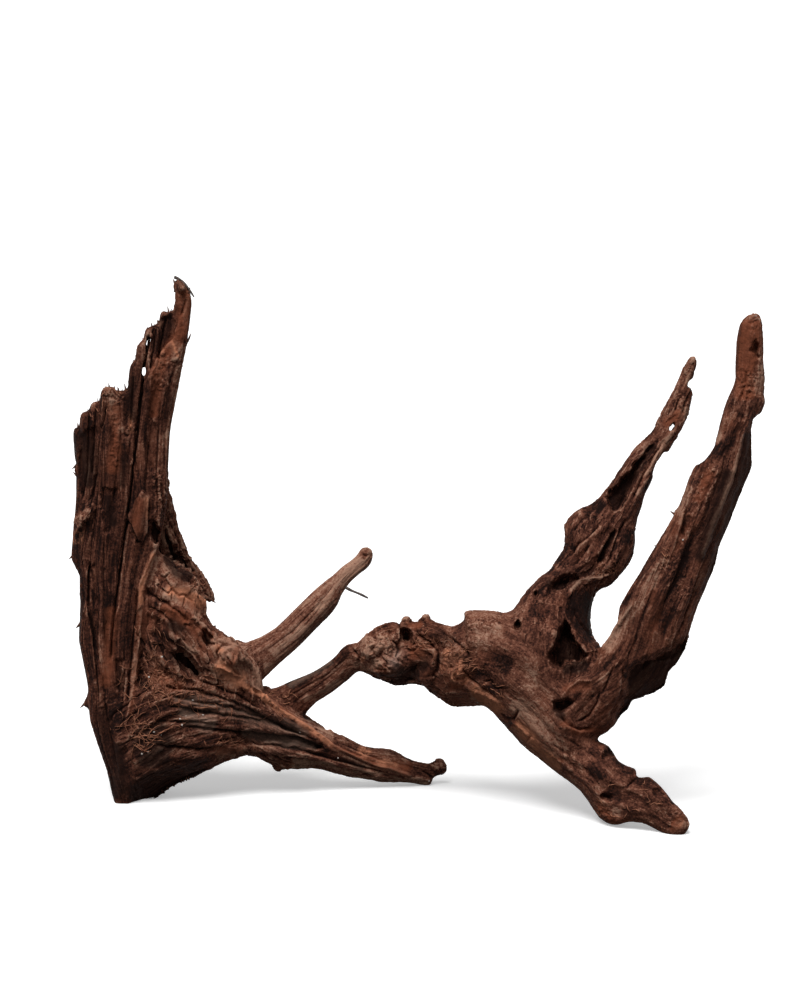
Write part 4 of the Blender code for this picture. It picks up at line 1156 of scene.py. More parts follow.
# %% [markdown]
# ## Cracks and ridges
# These are the long features that one knows this piece by. A stroke is a line on the sheet with a half
# width and a height in millimetres, below zero for a crack. Its profile is a bell across the line, and it
# fades at both ends. Where the surface is crusty, small chips and pits are added under a broad stroke.

# %% Strokes: half width in steps, height in millimetres, then across and down of each point
STROKES = (
    # the slab's long open crack and its seams
    (0.9, -4.5, 148,342, 144,367, 132,484, 112,631, 111,660), (0.9, -2.6, 106,408, 100,430, 93,500),
    (0.9, -2.2, 90,408, 87,472, 82,500), (0.8, -1.6, 96,404, 92,476), (0.8, -1.2, 120,400, 121,430, 114,500),
    (0.8, -1.2, 133,366, 131,430, 128,462), (0.9, -2.2, 166,316, 158,366), (0.9, -2.0, 157,326, 150,372),
    (1.2, -3.0, 90,562, 88,608, 94,630, 98,700), (0.8, -1.2, 104,540, 104,620, 107,650),
    (1.2, -2.6, 138,590, 127,705), (0.9, -1.6, 124,648, 125,670, 121,715),
    (0.9, -1.4, 103,676, 106,710, 118,775), (0.9, -1.8, 160,400, 156,470, 158,500),
    (0.8, -1.2, 149,440, 146,486), (1.1, -2.2, 127,520, 138,543, 143,541), (1.1, -2.2, 150,500, 149,540),
    (1.0, -2.0, 187,298, 180,318),
    # the fin
    (1.4, -2.6, 164,530, 180,574), (1.2, -2.0, 170,520, 178,540, 198,580),
    (1.2, -2.0, 160,480, 165,510, 172,535), (1.2, -1.8, 188,575, 196,588, 205,598),
    # the heart
    (0.9, -1.8, 160,588, 168,594, 173,590, 179,597, 186,595, 199,610),
    (0.8, -1.6, 170,584, 174,592, 171,602), (0.8, -1.4, 186,595, 184,606, 190,611),
    (1.6, -2.8, 147,590, 156,600, 168,604, 188,622),
    (1.4, -2.4, 148,607, 160,612, 172,622, 176,634, 186,642),
    (1.5, -2.6, 168,638, 190,656, 200,668, 214,674), (1.3, -2.0, 196,610, 204,628, 214,640, 226,645),
    (1.0, -1.8, 225,664, 250,685, 258,695),
    (1.2, -2.5, 218,662, 217,652, 223,645, 232,643, 240,648, 243,657, 239,666, 230,668, 224,662, 225,654,
     231,651, 236,656, 233,661),
    # the fan's furrows
    (1.6, -3.0, 164,686, 195,690, 225,699, 300,734), (1.5, -2.6, 170,696, 232,708, 292,729, 315,740),
    (1.5, -2.6, 168,706, 200,712, 240,717, 275,724, 305,735), (1.3, -2.0, 190,676, 240,696, 262,709),
    (1.6, -2.8, 185,727, 300,739, 322,748), (1.5, -2.6, 242,741, 300,749, 385,774),
    (1.3, -2.0, 160,722, 190,722, 222,726), (1.3, -2.2, 258,754, 315,762, 372,776),
    (1.4, -2.4, 155,745, 205,750, 225,747), (1.3, -2.0, 340,752, 378,768), (1.2, -1.8, 345,744, 385,762),
    (1.2, -2.0, 420,770, 428,774, 434,780), (1.1, -1.6, 434,760, 440,765, 441,772),
    # the upper and the middle branch
    (0.7, -0.6, 278,655, 302,637, 338,597), (0.6, -0.7, 270,648, 292,632, 312,612, 334,586),
    (1.1, -1.2, 268,634, 276,631, 284,632), (1.1, -1.4, 361,552, 366,556, 371,554),
    (1.0, -1.0, 283,700, 328,674, 347,657), (1.5, -2.6, 351,646, 356,656, 360,670),
    # the neck
    (1.3, -2.4, 372,634, 377,642, 372,650, 378,658), (1.2, -2.2, 388,630, 391,640, 398,646, 397,656),
    (1.3, -2.4, 399,622, 401,640, 397,655, 404,664),
    (1.4, -2.6, 414,626, 418,636, 428,640, 436,650, 438,664, 434,676),
    (1.2, -2.0, 420,645, 412,652, 404,650), (1.2, -2.0, 384,646, 380,655, 386,663, 385,672),
    (1.3, -2.2, 444,630, 452,640, 463,647, 470,658), (1.2, -2.0, 452,652, 458,664, 455,676, 460,686),
    (1.3, -2.2, 462,668, 472,680, 500,702), (1.2, -2.0, 482,682, 490,680, 496,688, 506,688),
    # the body and the foot
    (1.4, -2.6, 499,713, 505,718, 513,719, 517,714, 516,708), (1.1, -1.6, 526,742, 530,738, 529,733),
    (1.2, -1.0, 552,745, 570,757, 588,772, 602,789), (1.2, -0.8, 560,736, 600,758),
    (1.3, -2.2, 624,789, 630,783, 636,780), (1.1, -0.8, 574,770, 590,781, 600,792),
    # the thin arm
    (1.6, -3.0, 615,531, 603,550, 599,562), (1.3, -2.2, 624,521, 608,564),
    (1.3, -2.0, 600,522, 590,534, 578,545, 570,556), (1.3, -2.0, 590,545, 573,566),
    (1.2, -1.8, 592,512, 580,520, 572,532), (1.3, -2.2, 664,440, 646,470, 633,500),
    (1.2, -1.8, 682,392, 673,414), (1.2, -1.8, 690,392, 681,418),
    (1.2, -1.8, 612,575, 603,580, 596,590, 594,604, 597,620, 604,640),
    (1.2, -1.8, 574,608, 580,622, 590,634, 600,642),
    # the thick arm
    (1.6, -1.6, 748,430, 739,470, 699,578), (1.5, -2.6, 686,505, 682,538),
    (1.6, -1.4, 726,446, 706,492, 676,578, 664,606), (2.2, -1.4, 704,500, 690,548, 680,574, 655,628),
    (1.2, -2.0, 732,400, 722,440), (1.2, -1.8, 747,372, 745,388, 740,402),
    (1.8, -3.0, 623,668, 624,682, 622,696, 610,718), (1.5, -2.6, 560,716, 568,724, 580,729, 592,729),
    (1.3, -2.0, 600,690, 596,704, 588,716, 576,722), (1.2, -1.8, 614,664, 608,682, 600,696),
    (1.3, -2.2, 700,575, 684,622, 672,648),
    # ridges
    (1.3, 1.9, 216,666, 242,678, 280,711, 321,736, 333,746, 369,763, 390,768, 412,776),
    (1.0, 1.0, 156,546, 140,584, 141,624, 132,696, 124,731), (1.5, 1.4, 74,523, 93,504, 96,510),
    (1.5, 1.4, 143,491, 133,507, 127,521), (1.4, 1.2, 121,602, 113,624),
    (1.6, 1.5, 744,426, 734,472, 702,556), (0.8, 1.0, 566,595, 565,613, 576,638, 587,651, 601,652),
    (1.5, 1.4, 560,697, 570,687, 580,681, 594,680), (1.4, 1.2, 567,597, 578,582, 587,578, 600,579, 611,573),
    (1.6, 1.3, 660,583, 672,551, 694,482), (1.4, 1.2, 598,672, 602,650, 634,602),
    (1.4, 1.2, 172,340, 160,358, 148,372),
)
print(len(STROKES), "strokes")

# %% Strokes as lift
STROKE_FADE = 6.0
VIEWS = ((front_share, (0, 0)), (back_share, FAR_SHIFT))
STROKE_LIMITS = (-5 * MM, 2 * MM)
LIFT_LIMITS = (-5.5 * MM, 3 * MM)


def stroke_profile(across, down, numbers, half_width):
    """Bell-shaped share between 0 and 1 of how near each sheet place is to a line of points, fading over
    the last few steps at both ends. Only the places in the line's own box are worked out."""
    line = as_points(numbers)
    here = in_box(across, down, line, 3 * half_width)
    spot = np.stack([across[here], down[here]], 1)
    best = np.full(len(here), np.inf)
    where = np.zeros(len(here))
    lengths = np.linalg.norm(np.diff(line, axis=0), axis=1)
    total = lengths.sum()
    start = 0.0
    for first, last, length in zip(line[:-1], line[1:], lengths):
        share = np.clip((spot - first) @ (last - first) / length**2, 0, 1)
        gap = np.linalg.norm(spot - first - share[:, None] * (last - first), axis=1)
        nearer = gap < best
        best[nearer] = gap[nearer]
        where[nearer] = start + share[nearer] * length
        start += length
    fade = np.clip(np.minimum(where, total - where) / STROKE_FADE + 0.15, 0, 1)
    return here, np.exp(-((best / half_width) ** 2)) * fade


def drawn_on(line, half_width):
    """For both views: the points that a drawn line touches, its bell there, and how well they are seen."""
    for share, shift in VIEWS:
        here, bell = stroke_profile(drawn_across - shift[0], drawn_down - shift[1], line, half_width)
        yield here, bell, share[here]


strokes_lift = np.zeros(len(points))
for half_width, height, *line in STROKES:
    for here, bell, seen in drawn_on(line, half_width):
        strokes_lift[here] += height * MM * bell * seen
print("deepest stroke", (strokes_lift.min() / MM).round(2), "mm")

# %% Crusty and calm places
# Half width in steps, height in millimetres, then across and down of each point. Below zero it is a calm
# place, and the height is the share of the relief that is taken away.
CRUSTS = (
    (6, 1.1, 184,284, 183,304), (8, 0.9, 173,350, 161,366, 156,394), (7, 0.9, 102,393, 128,399),
    (5, 0.9, 128,412, 131,436), (6, 0.9, 75,528, 92,511), (8, 1.2, 156,470, 166,520, 184,566, 204,594),
    (11, 0.9, 160,668, 178,692), (8, 0.9, 126,738, 150,726), (8, 1.0, 446,652, 454,670, 457,684),
    (9, 0.8, 440,630, 452,646), (6, 0.9, 406,620, 424,620, 420,640), (14, 0.9, 366,652, 384,636, 392,664),
    (9, 0.7, 464,626, 486,620, 504,622), (10, 0.7, 462,664, 490,668, 516,662), (8, 1.1, 436,763, 441,772),
    (7, 0.7, 594,806, 622,820), (8, 0.8, 664,812, 680,828), (10, 0.7, 612,578, 604,560, 622,546),
    (8, 0.8, 676,414, 686,394), (7, 1.1, 752,317, 757,330), (10, 1.3, 752,366, 745,384, 750,402),
    (9, 1.0, 714,464, 695,508), (6, 0.8, 690,506, 684,540, 672,570), (9, 0.9, 660,560, 690,600),
    (8, 0.7, 566,590, 590,574, 614,572), (7, 0.7, 110,402, 117,430, 113,470), (7, 0.8, 178,350, 176,372),
    (12, -0.85, 164,594, 202,607), (13, -0.9, 229,655, 233,658), (14, -0.5, 726,424, 716,456),
    (13, -0.7, 584,594, 588,620, 600,642), (10, -0.6, 420,668, 432,680), (18, -0.4, 524,650, 540,690),
    (8, -0.5, 240,735, 320,748), (16, -0.4, 600,770, 640,790),
)
CRUST_CHIP = 1.9
CRUST_TONE = 0.35
crust = np.zeros(len(points))
calm = np.zeros(len(points))
for half_width, height, *line in CRUSTS:
    layer = crust if height > 0 else calm
    for here, bell, seen in drawn_on(line, half_width):
        layer[here] = np.maximum(layer[here], abs(height) * bell * seen)
lift *= 1 - calm
layer_tone *= 1 - calm
here = np.flatnonzero(crust > 0.02)
crumbly = chips(points[here] / (CRUST_CHIP * MM), 930)
crumbly = crumbly + 1.2 * (cloudy(points[here] / (PIT_SIZE * MM), 3, 940) - 0.5)
lift[here] += crust[here] * crumbly * MM
layer_tone[here] += CRUST_TONE * crust[here] * crumbly
lift = np.clip(lift + np.clip(strokes_lift, *STROKE_LIMITS), *LIFT_LIMITS)
print("crusts", len(CRUSTS), "lift from", (lift.min() / MM).round(2), "to", (lift.max() / MM).round(2), "mm")

# %% [markdown]
# ## Working the relief in
# The lift is added along the smooth normals. Near the floor it fades out, so that the wood still rests on
# its level spots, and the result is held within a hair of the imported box.

# %% Displaced points
GROUND_FADE = 4 * MM
LAST_EASE = 0.10
BOX_ROOM = 1.5 * MM
lift *= np.clip(points[:, 2] / GROUND_FADE, 0, 1)
shaped = points + smooth_normals * lift[:, None]
shaped = shaped + LAST_EASE * (eased(shaped, 1) - shaped)
shaped = np.clip(shaped, np.array(cad_box[0]) - BOX_ROOM, np.array(cad_box[1]) + BOX_ROOM)
shaped[:, 2] = np.maximum(shaped[:, 2], 0.0)
normals = normals_of(shaped)
print("moved by", (np.linalg.norm(shaped - points, axis=1).max() / MM).round(2), "mm at most")

# %% [markdown]
# ## Crests and hollows
# Handling, sand and water wear the high places pale, and dirt gathers in the low ones; the paler crests are
# also a painted highlight on lit edges, and the darker low places a painted shade. How far a point stands
# above the mean of its surroundings says which it is. A small neighbourhood finds the fibres, a large one
# finds the folds of the limb. This could be done in the material with Pointiness, but that depends on the
# renderer and is lost when the model is exported.


# %% How far points stand above their surroundings
def standing(positions, times):
    """Height in millimetres of each point above its eased self, along its normal."""
    return ((positions - eased(positions, times)) * normals).sum(1) / MM


fine_crest = standing(shaped, 2)
broad_crest = standing(shaped, 30)
print("crests, fine and broad:", [np.percentile(v, (5, 50, 95)).round(3) for v in (fine_crest, broad_crest)])

# %% [markdown]
# ## Stains, painted light and painted shade
# The colour changes from place to place: the branches and the top of the body are bleached, the heart and the
# lip of the body are rusty red, and fresh breaks are orange. The char marks make hollows, pockets and
# undersides nearly black, partly as black-brown stain and partly as painted shade, the shade marks paint
# shade, and the tan marks are partly bleached colour and partly painted light. Each stain is a soft brush
# mark on the sheet, broken up by noise so that its edge is ragged.

# %% Limb tones and brush marks
# Tone from dark to pale, and shares of ash grey-tan, rust red and char black, the last in a mask that also
# carries painted shade
LIMB_TONES = {
    "slab": (0.25, 0.02, 0.16, 0.08), "fan": (0.37, 0.16, 0.08, 0.06), "fin": (0.53, 0.05, 0.16, 0.05),
    "heart": (0.46, 0.04, 0.30, 0.04), "upper_branch": (0.60, 0.05, 0.14, 0.0),
    "middle_branch": (0.48, 0.12, 0.10, 0.02), "neck": (0.47, 0.03, 0.28, 0.0),
    "foot": (0.45, 0.04, 0.20, 0.0), "thin_arm": (0.33, 0.05, 0.16, 0.05),
    "thick_arm": (0.40, 0.02, 0.28, 0.02),
}
# By kind: half width in steps, strength, then across and down of each point
STAINS = {
    # Tan marks: bleached colour, and painted light where the light leaves the wood too dark
    "tan_and_light": (
        (5, 0.5, 184,282, 180,294, 186,334), (7, 1.6, 174,342, 180,354, 178,374),
        (7, 0.8, 170,354, 160,366, 158,384), (4, 0.8, 152,326, 143,345, 142,374),
        (7, 1.0, 104,394, 112,402, 122,436), (7, 1.5, 75,526, 92,510), (6, 0.9, 145,492, 147,510, 141,538),
        (5, 0.8, 176,384, 163,452), (5, 0.7, 101,630, 104,676),
        (2.5, 0.8, 154,548, 142,582, 140,604, 140,628, 134,662, 131,698, 126,722),
        (9, 1.3, 162,590, 204,610), (5, 1.3, 157,554, 146,588), (5, 0.8, 176,640, 200,656),
        (6, 1.2, 262,664, 272,673), (5, 1.3, 316,727, 334,741),
        (3.2, 1.1, 218,668, 242,679, 280,712, 300,722, 321,736, 333,747, 369,764, 412,776),
        (9, 0.5, 180,710, 196,722, 216,727), (6, 1.0, 290,762, 380,778, 430,784), (6, 0.9, 212,754, 250,749),
        (8, 0.8, 370,760, 410,766), (8, 0.5, 268,654, 306,626, 344,582), (8, 1.2, 338,588, 363,556),
        (4, 0.9, 300,702, 344,680), (14, 0.9, 362,650, 392,636), (10, 1.6, 358,656, 380,670),
        (9, 1.3, 446,654, 460,680), (3.5, 1.2, 463,655, 451,684), (9, 0.5, 470,628, 506,630),
        (7, 1.6, 472,690, 499,709), (8, 1.4, 512,722, 556,765), (12, 0.6, 508,702, 556,752),
        (13, 0.6, 534,692, 529,652), (6, 1.0, 690,406, 682,420), (5, 0.7, 568,594, 582,580, 610,574),
        (5, 0.7, 672,432, 650,468, 636,498), (9, 1.1, 756,370, 752,398), (4, 0.8, 742,428, 732,474, 700,557),
        (7, 1.1, 607,654, 622,621, 640,602, 667,556), (7, 0.7, 600,690, 606,668), (5, 0.9, 676,516, 692,482),
        (8, 0.5, 556,738, 590,772), (7, 0.9, 610,808, 624,817), (7, 0.8, 674,820, 683,826),
        (5, 1.4, 178,358, 179,372, 176,386), (9, 1.6, 174,594, 190,597, 208,611), (7, 1.4, 546,760, 560,770),
        (5, 1.2, 713,445, 722,432), (7, 1.2, 598,780, 610,790), (5, 1.2, 433,762, 441,770),
        (6, 1.2, 672,658, 684,650), (9, 0.7, 472,637, 492,636), (10, 1.5, 212,664, 242,684),
        (8, 1.2, 218,650, 232,646, 244,658, 262,694), (5, 1.1, 758,362, 760,376), (5, 1.0, 671,580, 667,594),
    ),
    "rust": (
        (8, 0.9, 184,288, 182,330, 164,356, 154,380), (7, 0.8, 114,402, 116,430, 112,476),
        (8, 0.7, 144,496, 136,520, 140,538), (8, 0.7, 168,350, 156,378, 154,420), (9, 0.7, 112,604, 106,690),
        (5, 0.5, 150,560, 141,600, 130,720), (10, 0.8, 158,606, 180,616, 214,642),
        (10, 0.7, 150,668, 170,684, 186,690), (15, 1.3, 230,655, 240,660),
        (3.5, 0.8, 212,664, 300,722, 333,747, 412,776), (6, 0.7, 212,752, 248,748),
        (8, 0.9, 368,762, 414,768), (6, 0.6, 358,658, 372,668, 390,672), (9, 0.8, 406,652, 428,650),
        (5, 0.8, 404,622, 416,626, 424,620), (11, 1.2, 446,656, 462,688), (6, 0.9, 470,686, 498,707),
        (8, 0.6, 560,690, 594,684), (5, 0.7, 557,720, 578,732, 600,729), (6, 0.7, 664,428, 684,408),
        (9, 0.7, 712,466, 696,506), (11, 1.3, 752,318, 744,380, 748,402),
        (6, 0.8, 594,804, 614,820, 636,824), (9, 1.3, 672,820, 682,826), (10, 1.0, 176,592, 206,608),
        (7, 1.2, 488,702, 503,713), (11, 0.8, 512,720, 560,770),
    ),
    # Char marks: black-brown stain, and painted shade under overhangs, in hollows and on undersides
    "char_and_shade": (
        (8, 0.7, 172,318, 154,352), (6, 0.8, 134,372, 130,400, 134,424), (10, 0.9, 82,428, 88,450, 88,490),
        (6, 0.9, 107,492, 114,530), (8, 0.9, 111,772, 116,802), (5, 0.6, 168,386, 169,404, 165,422),
        (4, 0.7, 120,664, 119,694), (9, 0.6, 100,706, 112,790), (9, 1.4, 166,552, 179,569, 193,579),
        (8, 0.8, 164,654, 194,668), (15, 1.2, 150,722, 164,759), (17, 1.1, 130,802, 150,788, 206,772),
        (12, 0.8, 116,740, 122,798), (8, 0.9, 372,676, 440,698), (5, 0.4, 230,731, 320,748),
        (5, 0.8, 336,757, 368,769), (6, 0.5, 296,644, 318,624, 338,600), (7, 1.0, 404,630, 407,642),
        (8, 1.2, 388,682, 421,669), (8, 0.6, 432,632, 458,644), (11, 1.2, 566,632, 562,652, 574,664),
        (8, 1.2, 572,666, 590,667), (13, 0.7, 582,592, 596,640), (8, 0.8, 544,587, 556,580),
        (12, 0.5, 556,584, 600,570), (8, 0.9, 554,704, 561,714), (4, 0.7, 615,533, 603,550, 599,562),
        (11, 0.9, 752,430, 746,470, 708,596), (9, 0.9, 730,466, 698,564), (4, 0.8, 655,540, 636,582),
        (14, 0.8, 654,668, 634,696), (7, 0.9, 164,622, 188,631), (12, 1.1, 138,736, 146,758, 172,757),
        (8, 1.2, 560,668, 580,666), (6, 0.9, 553,712, 567,718), (6, 0.7, 656,442, 618,500),
        (9, 0.6, 460,660, 474,664), (9, 0.6, 496,658, 514,668), (7, 1.1, 417,663, 429,669),
        (6, 0.6, 126,450, 122,490), (9, 0.9, 146,730, 156,740),
    ),
    "shade": (
        (6, 0.9, 92,408, 90,430), (7, 0.9, 110,590, 108,628), (8, 1.0, 116,692, 117,738),
        (6, 0.9, 124,440, 125,472), (11, 1.3, 148,610, 152,638, 170,630), (9, 1.6, 170,614, 188,614),
        (9, 1.0, 144,678, 150,692), (8, 1.2, 268,713, 304,730), (8, 0.4, 258,643, 306,608),
        (6, 1.3, 286,688, 312,674, 350,648), (8, 1.0, 366,636, 388,622, 398,626), (8, 0.8, 404,650, 412,652),
        (9, 1.2, 420,666, 431,678), (9, 1.3, 414,624, 446,634), (10, 0.8, 526,606, 550,618),
        (12, 1.3, 578,588, 580,618, 590,644), (10, 1.0, 556,566, 574,544), (7, 0.9, 616,552, 612,538),
        (6, 1.0, 629,526, 624,546), (7, 1.0, 684,400, 690,384), (5, 0.8, 644,442, 656,426),
        (7, 1.2, 742,420, 732,440, 706,461), (6, 0.9, 743,326, 742,350), (5, 1.2, 621,606, 630,594),
        (7, 0.9, 650,632, 682,572, 686,540), (9, 1.0, 656,632, 676,606),
        (10, 1.1, 590,744, 632,770, 666,798), (9, 0.9, 588,760, 618,800), (6, 1.4, 182,612, 196,616),
        (7, 1.3, 536,593, 550,588), (7, 1.3, 697,469, 708,461), (6, 1.3, 596,653, 606,644),
        (6, 1.1, 736,416, 744,410), (7, 1.4, 403,653, 417,659), (6, 1.3, 661,797, 676,805),
        (5, 1.0, 671,535, 679,523), (6, 1.0, 611,800, 625,802), (6, 1.2, 196,645, 204,653),
        (7, 1.2, 178,580, 194,582), (6, 1.1, 712,472, 704,490), (5, 1.0, 690,514, 685,531),
        (6, 1.1, 657,589, 648,605), (6, 1.1, 276,745, 300,750), (7, 1.0, 580,512, 592,504, 606,508),
        (5, 1.1, 308,696, 327,683), (6, 1.1, 640,802, 655,799), (6, 1.1, 650,474, 641,492),
        (6, 1.1, 547,575, 555,565), (6, 1.0, 571,696, 584,697), (6, 1.1, 150,602, 156,610),
        (6, 1.2, 168,657, 178,664), (5, 1.0, 199,704, 215,706), (5, 1.1, 613,544, 609,559),
        (11, 1.1, 458,662, 476,670, 494,660, 514,668), (8, 1.0, 484,686, 508,692),
        (6, 1.1, 408,633, 417,645), (6, 1.2, 184,612, 196,614), (7, 0.9, 302,626, 318,609),
    ),
    "ash": (
        (10, 0.9, 178,706, 194,720, 218,728), (12, 0.6, 170,700, 220,706, 310,738),
        (5, 0.55, 286,688, 334,659), (7, 0.8, 240,732, 320,748),
    ),
    "pale": (
        (5, 1.6, 389,658, 399,668), (5, 1.4, 393,656, 401,654),
    ),
    "orange": (
        (6, 1.1, 164,590, 178,593, 192,597, 204,604), (10, 0.72, 212,663, 244,686),
        (6, 0.9, 215,652, 223,646), (2.2, 0.9, 216,667, 259,695, 280,712, 300,722, 333,746),
        (5, 1.1, 261,692, 269,702), (6, 1.0, 468,686, 504,714), (4, 0.8, 444,662, 446,652, 453,654),
        (3, 1.1, 466,657, 451,682), (5, 1.0, 464,674, 470,682), (1.8, 0.7, 171,339, 179,360),
        (1.6, 0.6, 171,340, 160,356), (2.6, 0.8, 130,411, 131,436), (6, 0.9, 356,748, 373,755),
        (5, 0.6, 374,762, 402,765), (6, 0.8, 514,722, 562,772), (6, 0.6, 676,822, 684,828),
        (3, 0.8, 404,622, 413,622), (7, 1.2, 76,528, 77,546), (4, 0.7, 146,494, 147,522),
        (4, 0.8, 497,668, 504,672), (5, 0.8, 358,655, 367,664), (3, 0.7, 154,550, 142,584, 140,606),
    ),
}
print("brush marks", {kind: len(brushes) for kind, brushes in STAINS.items()})

# %% Marks from limb tones, brushes and pockets
# A pocket gets painted shade from this depth in steps, darkest at the other, and its shaded rim is this much
# wider
DARK_FROM = 5
DARKEST_AT = 14.0
DARK_RIM = 2
marks = {kind: np.zeros(len(points)) for kind in STAINS}
tone = np.zeros(len(points))
for row, name in enumerate(limb_names):
    limb_tone, ash, rust, char_and_shade = LIMB_TONES[name]
    tone += weights[row] * limb_tone
    for kind, share in (("ash", ash), ("rust", rust), ("char_and_shade", char_and_shade)):
        marks[kind] += weights[row] * share
for kind, brushes in STAINS.items():
    for half_width, strength, *line in brushes:
        for here, bell, seen in drawn_on(line, half_width):
            marks[kind][here] = np.maximum(marks[kind][here], strength * bell * seen)
ragged_across, ragged_down = warped(across, down, POCKET_RAGGED)
# Deep pockets get painted shade in the char mask, darker the deeper they are
for view_share, shift in VIEWS:
    for depth, rim, *outline in POCKETS:
        if depth >= DARK_FROM:
            here, inside = inside_distance(ragged_across - shift[0], ragged_down - shift[1], outline)
            dark = min(depth / DARKEST_AT, 1.0) * between(inside, 0, rim + DARK_RIM) * view_share[here]
            marks["char_and_shade"][here] = np.maximum(marks["char_and_shade"][here], dark)
print("mean tone", tone.mean().round(3))

# %% [markdown]
# ## Colour masks
# The stains are broken up by blotchy noise, and streaks follow the grain. Crests are pulled to pale, as wear
# and painted highlight, hollows to dark, as dirt and painted shade, faces turned up to pale as painted light
# and faces turned down to dark as painted shade. The results are stored with the points as two colours, a
# vector and three single values, which the material reads.

# %% Streaks, blotches and ragged edges
# Sizes in millimetres, and the stretch from which a limb counts as wholly fibrous
STREAK_SIZE = 2.3
BLOTCH_SIZE = 17
SPECKLE_SIZE = 2.4
WHOLLY_FIBROUS = 26
fibre_share = {name: min(stretch / WHOLLY_FIBROUS, 1) for name, stretch in FIBRE_STRETCH.items()}
streaks = np.zeros(len(points))
for row, name in enumerate(limb_names):
    here = np.flatnonzero(weights[row] > WORTH_WORKING)
    thread_size = np.array((4.0 + 0.9 * FIBRE_STRETCH[name], STREAK_SIZE, STREAK_SIZE)) * MM
    thread = places[name][here] / thread_size
    strength = 0.45 + 0.55 * fibre_share[name]
    streaks[here] += weights[row, here] * (0.5 + strength * (cloudy(thread, 3, 700 + row) - 0.5))
blotches = cloudy(points / (BLOTCH_SIZE * MM), 3, 760)
speckle = cloudy(points / (SPECKLE_SIZE * MM), 2, 780)
ragged = np.clip(0.5 + 1.5 * (0.5 * blotches + 0.3 * streaks + 0.2 * speckle - 0.5) * 1.6, 0, 1)


def broken(mark, bite=0.9):
    """A mark with a ragged edge: noise is taken from it where it is weak and left out where it is strong."""
    return np.clip(mark * (1 + bite) - bite * (1 - ragged), 0, 1)


print("streaks, 5 and 95 in a hundred:", np.percentile(streaks, (5, 95)).round(2))

# %% Masks from grain, crests and stains
# What each adds to the tone, from dark 0 to pale 1
STREAK_GAIN, BLOTCH_GAIN, SPECKLE_GAIN, LAYER_GAIN = 0.65, 0.45, 0.12, 0.5
# Crests are made paler as wear and as a painted highlight, hollows darker as dirt and painted shade, tops
# lighter as painted light and undersides darker as painted shade
CREST_GAIN, HOLLOW_LOSS, TOP_LIGHT_GAIN, UNDERSIDE_SHADE_LOSS = 0.33, 0.38, 0.04, 0.08
TAN_AND_LIGHT_GAIN, SHADE_LOSS, LIGHTER_ALL_OVER = 0.40, 0.36, 0.06
# Painted shade on faces turned down and painted light on faces turned up
under = between(-smooth_normals[:, 2], -0.05, 0.75)
upward = between(smooth_normals[:, 2], 0.0, 0.9)
crest = 0.55 * between(fine_crest, 0.02, 0.22) + 0.75 * between(broad_crest, 0.1, 1.1)
sunken = 0.45 * between(-fine_crest, 0.02, 0.22) + 0.85 * between(-broad_crest, 0.15, 1.3)
tone = tone + STREAK_GAIN * (streaks - 0.5) + BLOTCH_GAIN * (blotches - 0.5)
tone = tone + SPECKLE_GAIN * (speckle - 0.5) + LAYER_GAIN * layer_tone
# The tan marks, bleached colour and painted light together, also take part of the painted shade out of the
# hollows
pale_place = broken(marks["tan_and_light"])
sunken = sunken * (1 - 0.5 * pale_place)
tone = tone + LIGHTER_ALL_OVER + CREST_GAIN * crest - HOLLOW_LOSS * sunken
tone = tone + TOP_LIGHT_GAIN * upward - UNDERSIDE_SHADE_LOSS * under
tone = np.clip(tone + TAN_AND_LIGHT_GAIN * pale_place - SHADE_LOSS * broken(marks["shade"], 0.6), 0, 1)
opaque = np.ones(len(points))
# Crest, tone and low places, where the tone also carries painted light and painted shade
wear_and_painted_light = np.stack([np.clip(crest, 0, 1), tone, np.clip(sunken + 0.5 * under, 0, 1), opaque], 1)
# Painted shade in broad and fine hollows goes into the char mask, lessened under the tan marks
char_and_shade = 0.5 * between(-broad_crest, 0.6, 2.0) + 0.25 * between(-fine_crest, 0.1, 0.4)
char_and_shade = broken(marks["char_and_shade"], 0.5) + char_and_shade * (1 - 0.7 * pale_place)
# Rust, ash, and char with painted shade, stored together for the material
stain_and_shade = np.stack([broken(marks["rust"]), broken(marks["ash"]), np.clip(char_and_shade, 0, 0.95), opaque], 1)
fibrous = sum(weights[row] * fibre_share[name] for row, name in enumerate(limb_names))
grain = np.zeros((len(points), 3))
for row, name in enumerate(limb_names):
    here = main_limb == row
    grain[here] = places[name][here] * (max(1.0, 30.0 / FIBRE_STRETCH[name]) ** 1.2, 1.0, 1.0)
print("tone quartiles", np.percentile(tone, (25, 50, 75)).round(3), "rust mean", stain_and_shade[:, 0].mean().round(3))

# %% [markdown]
# ## The wood finish
# Weathered root wood is never one colour. A ramp runs from black-brown through red-brown to bleached tan, and
# the stored tone, which also carries painted light and painted shade, with fine fibre and pit noise added,
# says where on it a place lies. Rust, ash, orange and char are laid over, and the char mask also carries
# painted shade. The bump holds only what is finer than the mesh: hair-thin fibres and pores.

# %% Colours of the wood, and shader nodes in short calls
BLACK_BROWN = (0.0100, 0.0040, 0.0030, 1.0)
RED_BROWN = (0.075, 0.0255, 0.0160, 1.0)
WARM_BROWN = (0.188, 0.073, 0.045, 1.0)
BLEACHED_TAN = (0.410, 0.230, 0.158, 1.0)
RUST = (0.225, 0.068, 0.034, 1.0)
ORANGE_TAN = (0.52, 0.21, 0.118, 1.0)
ASH = (0.210, 0.136, 0.102, 1.0)
CHAR_AND_SHADE = (0.0105, 0.0042, 0.0030, 1.0)
PALE = (0.44, 0.29, 0.235, 1.0)
WOOD_RAMP = ((0.05, BLACK_BROWN), (0.36, RED_BROWN), (0.62, WARM_BROWN), (0.97, BLEACHED_TAN))


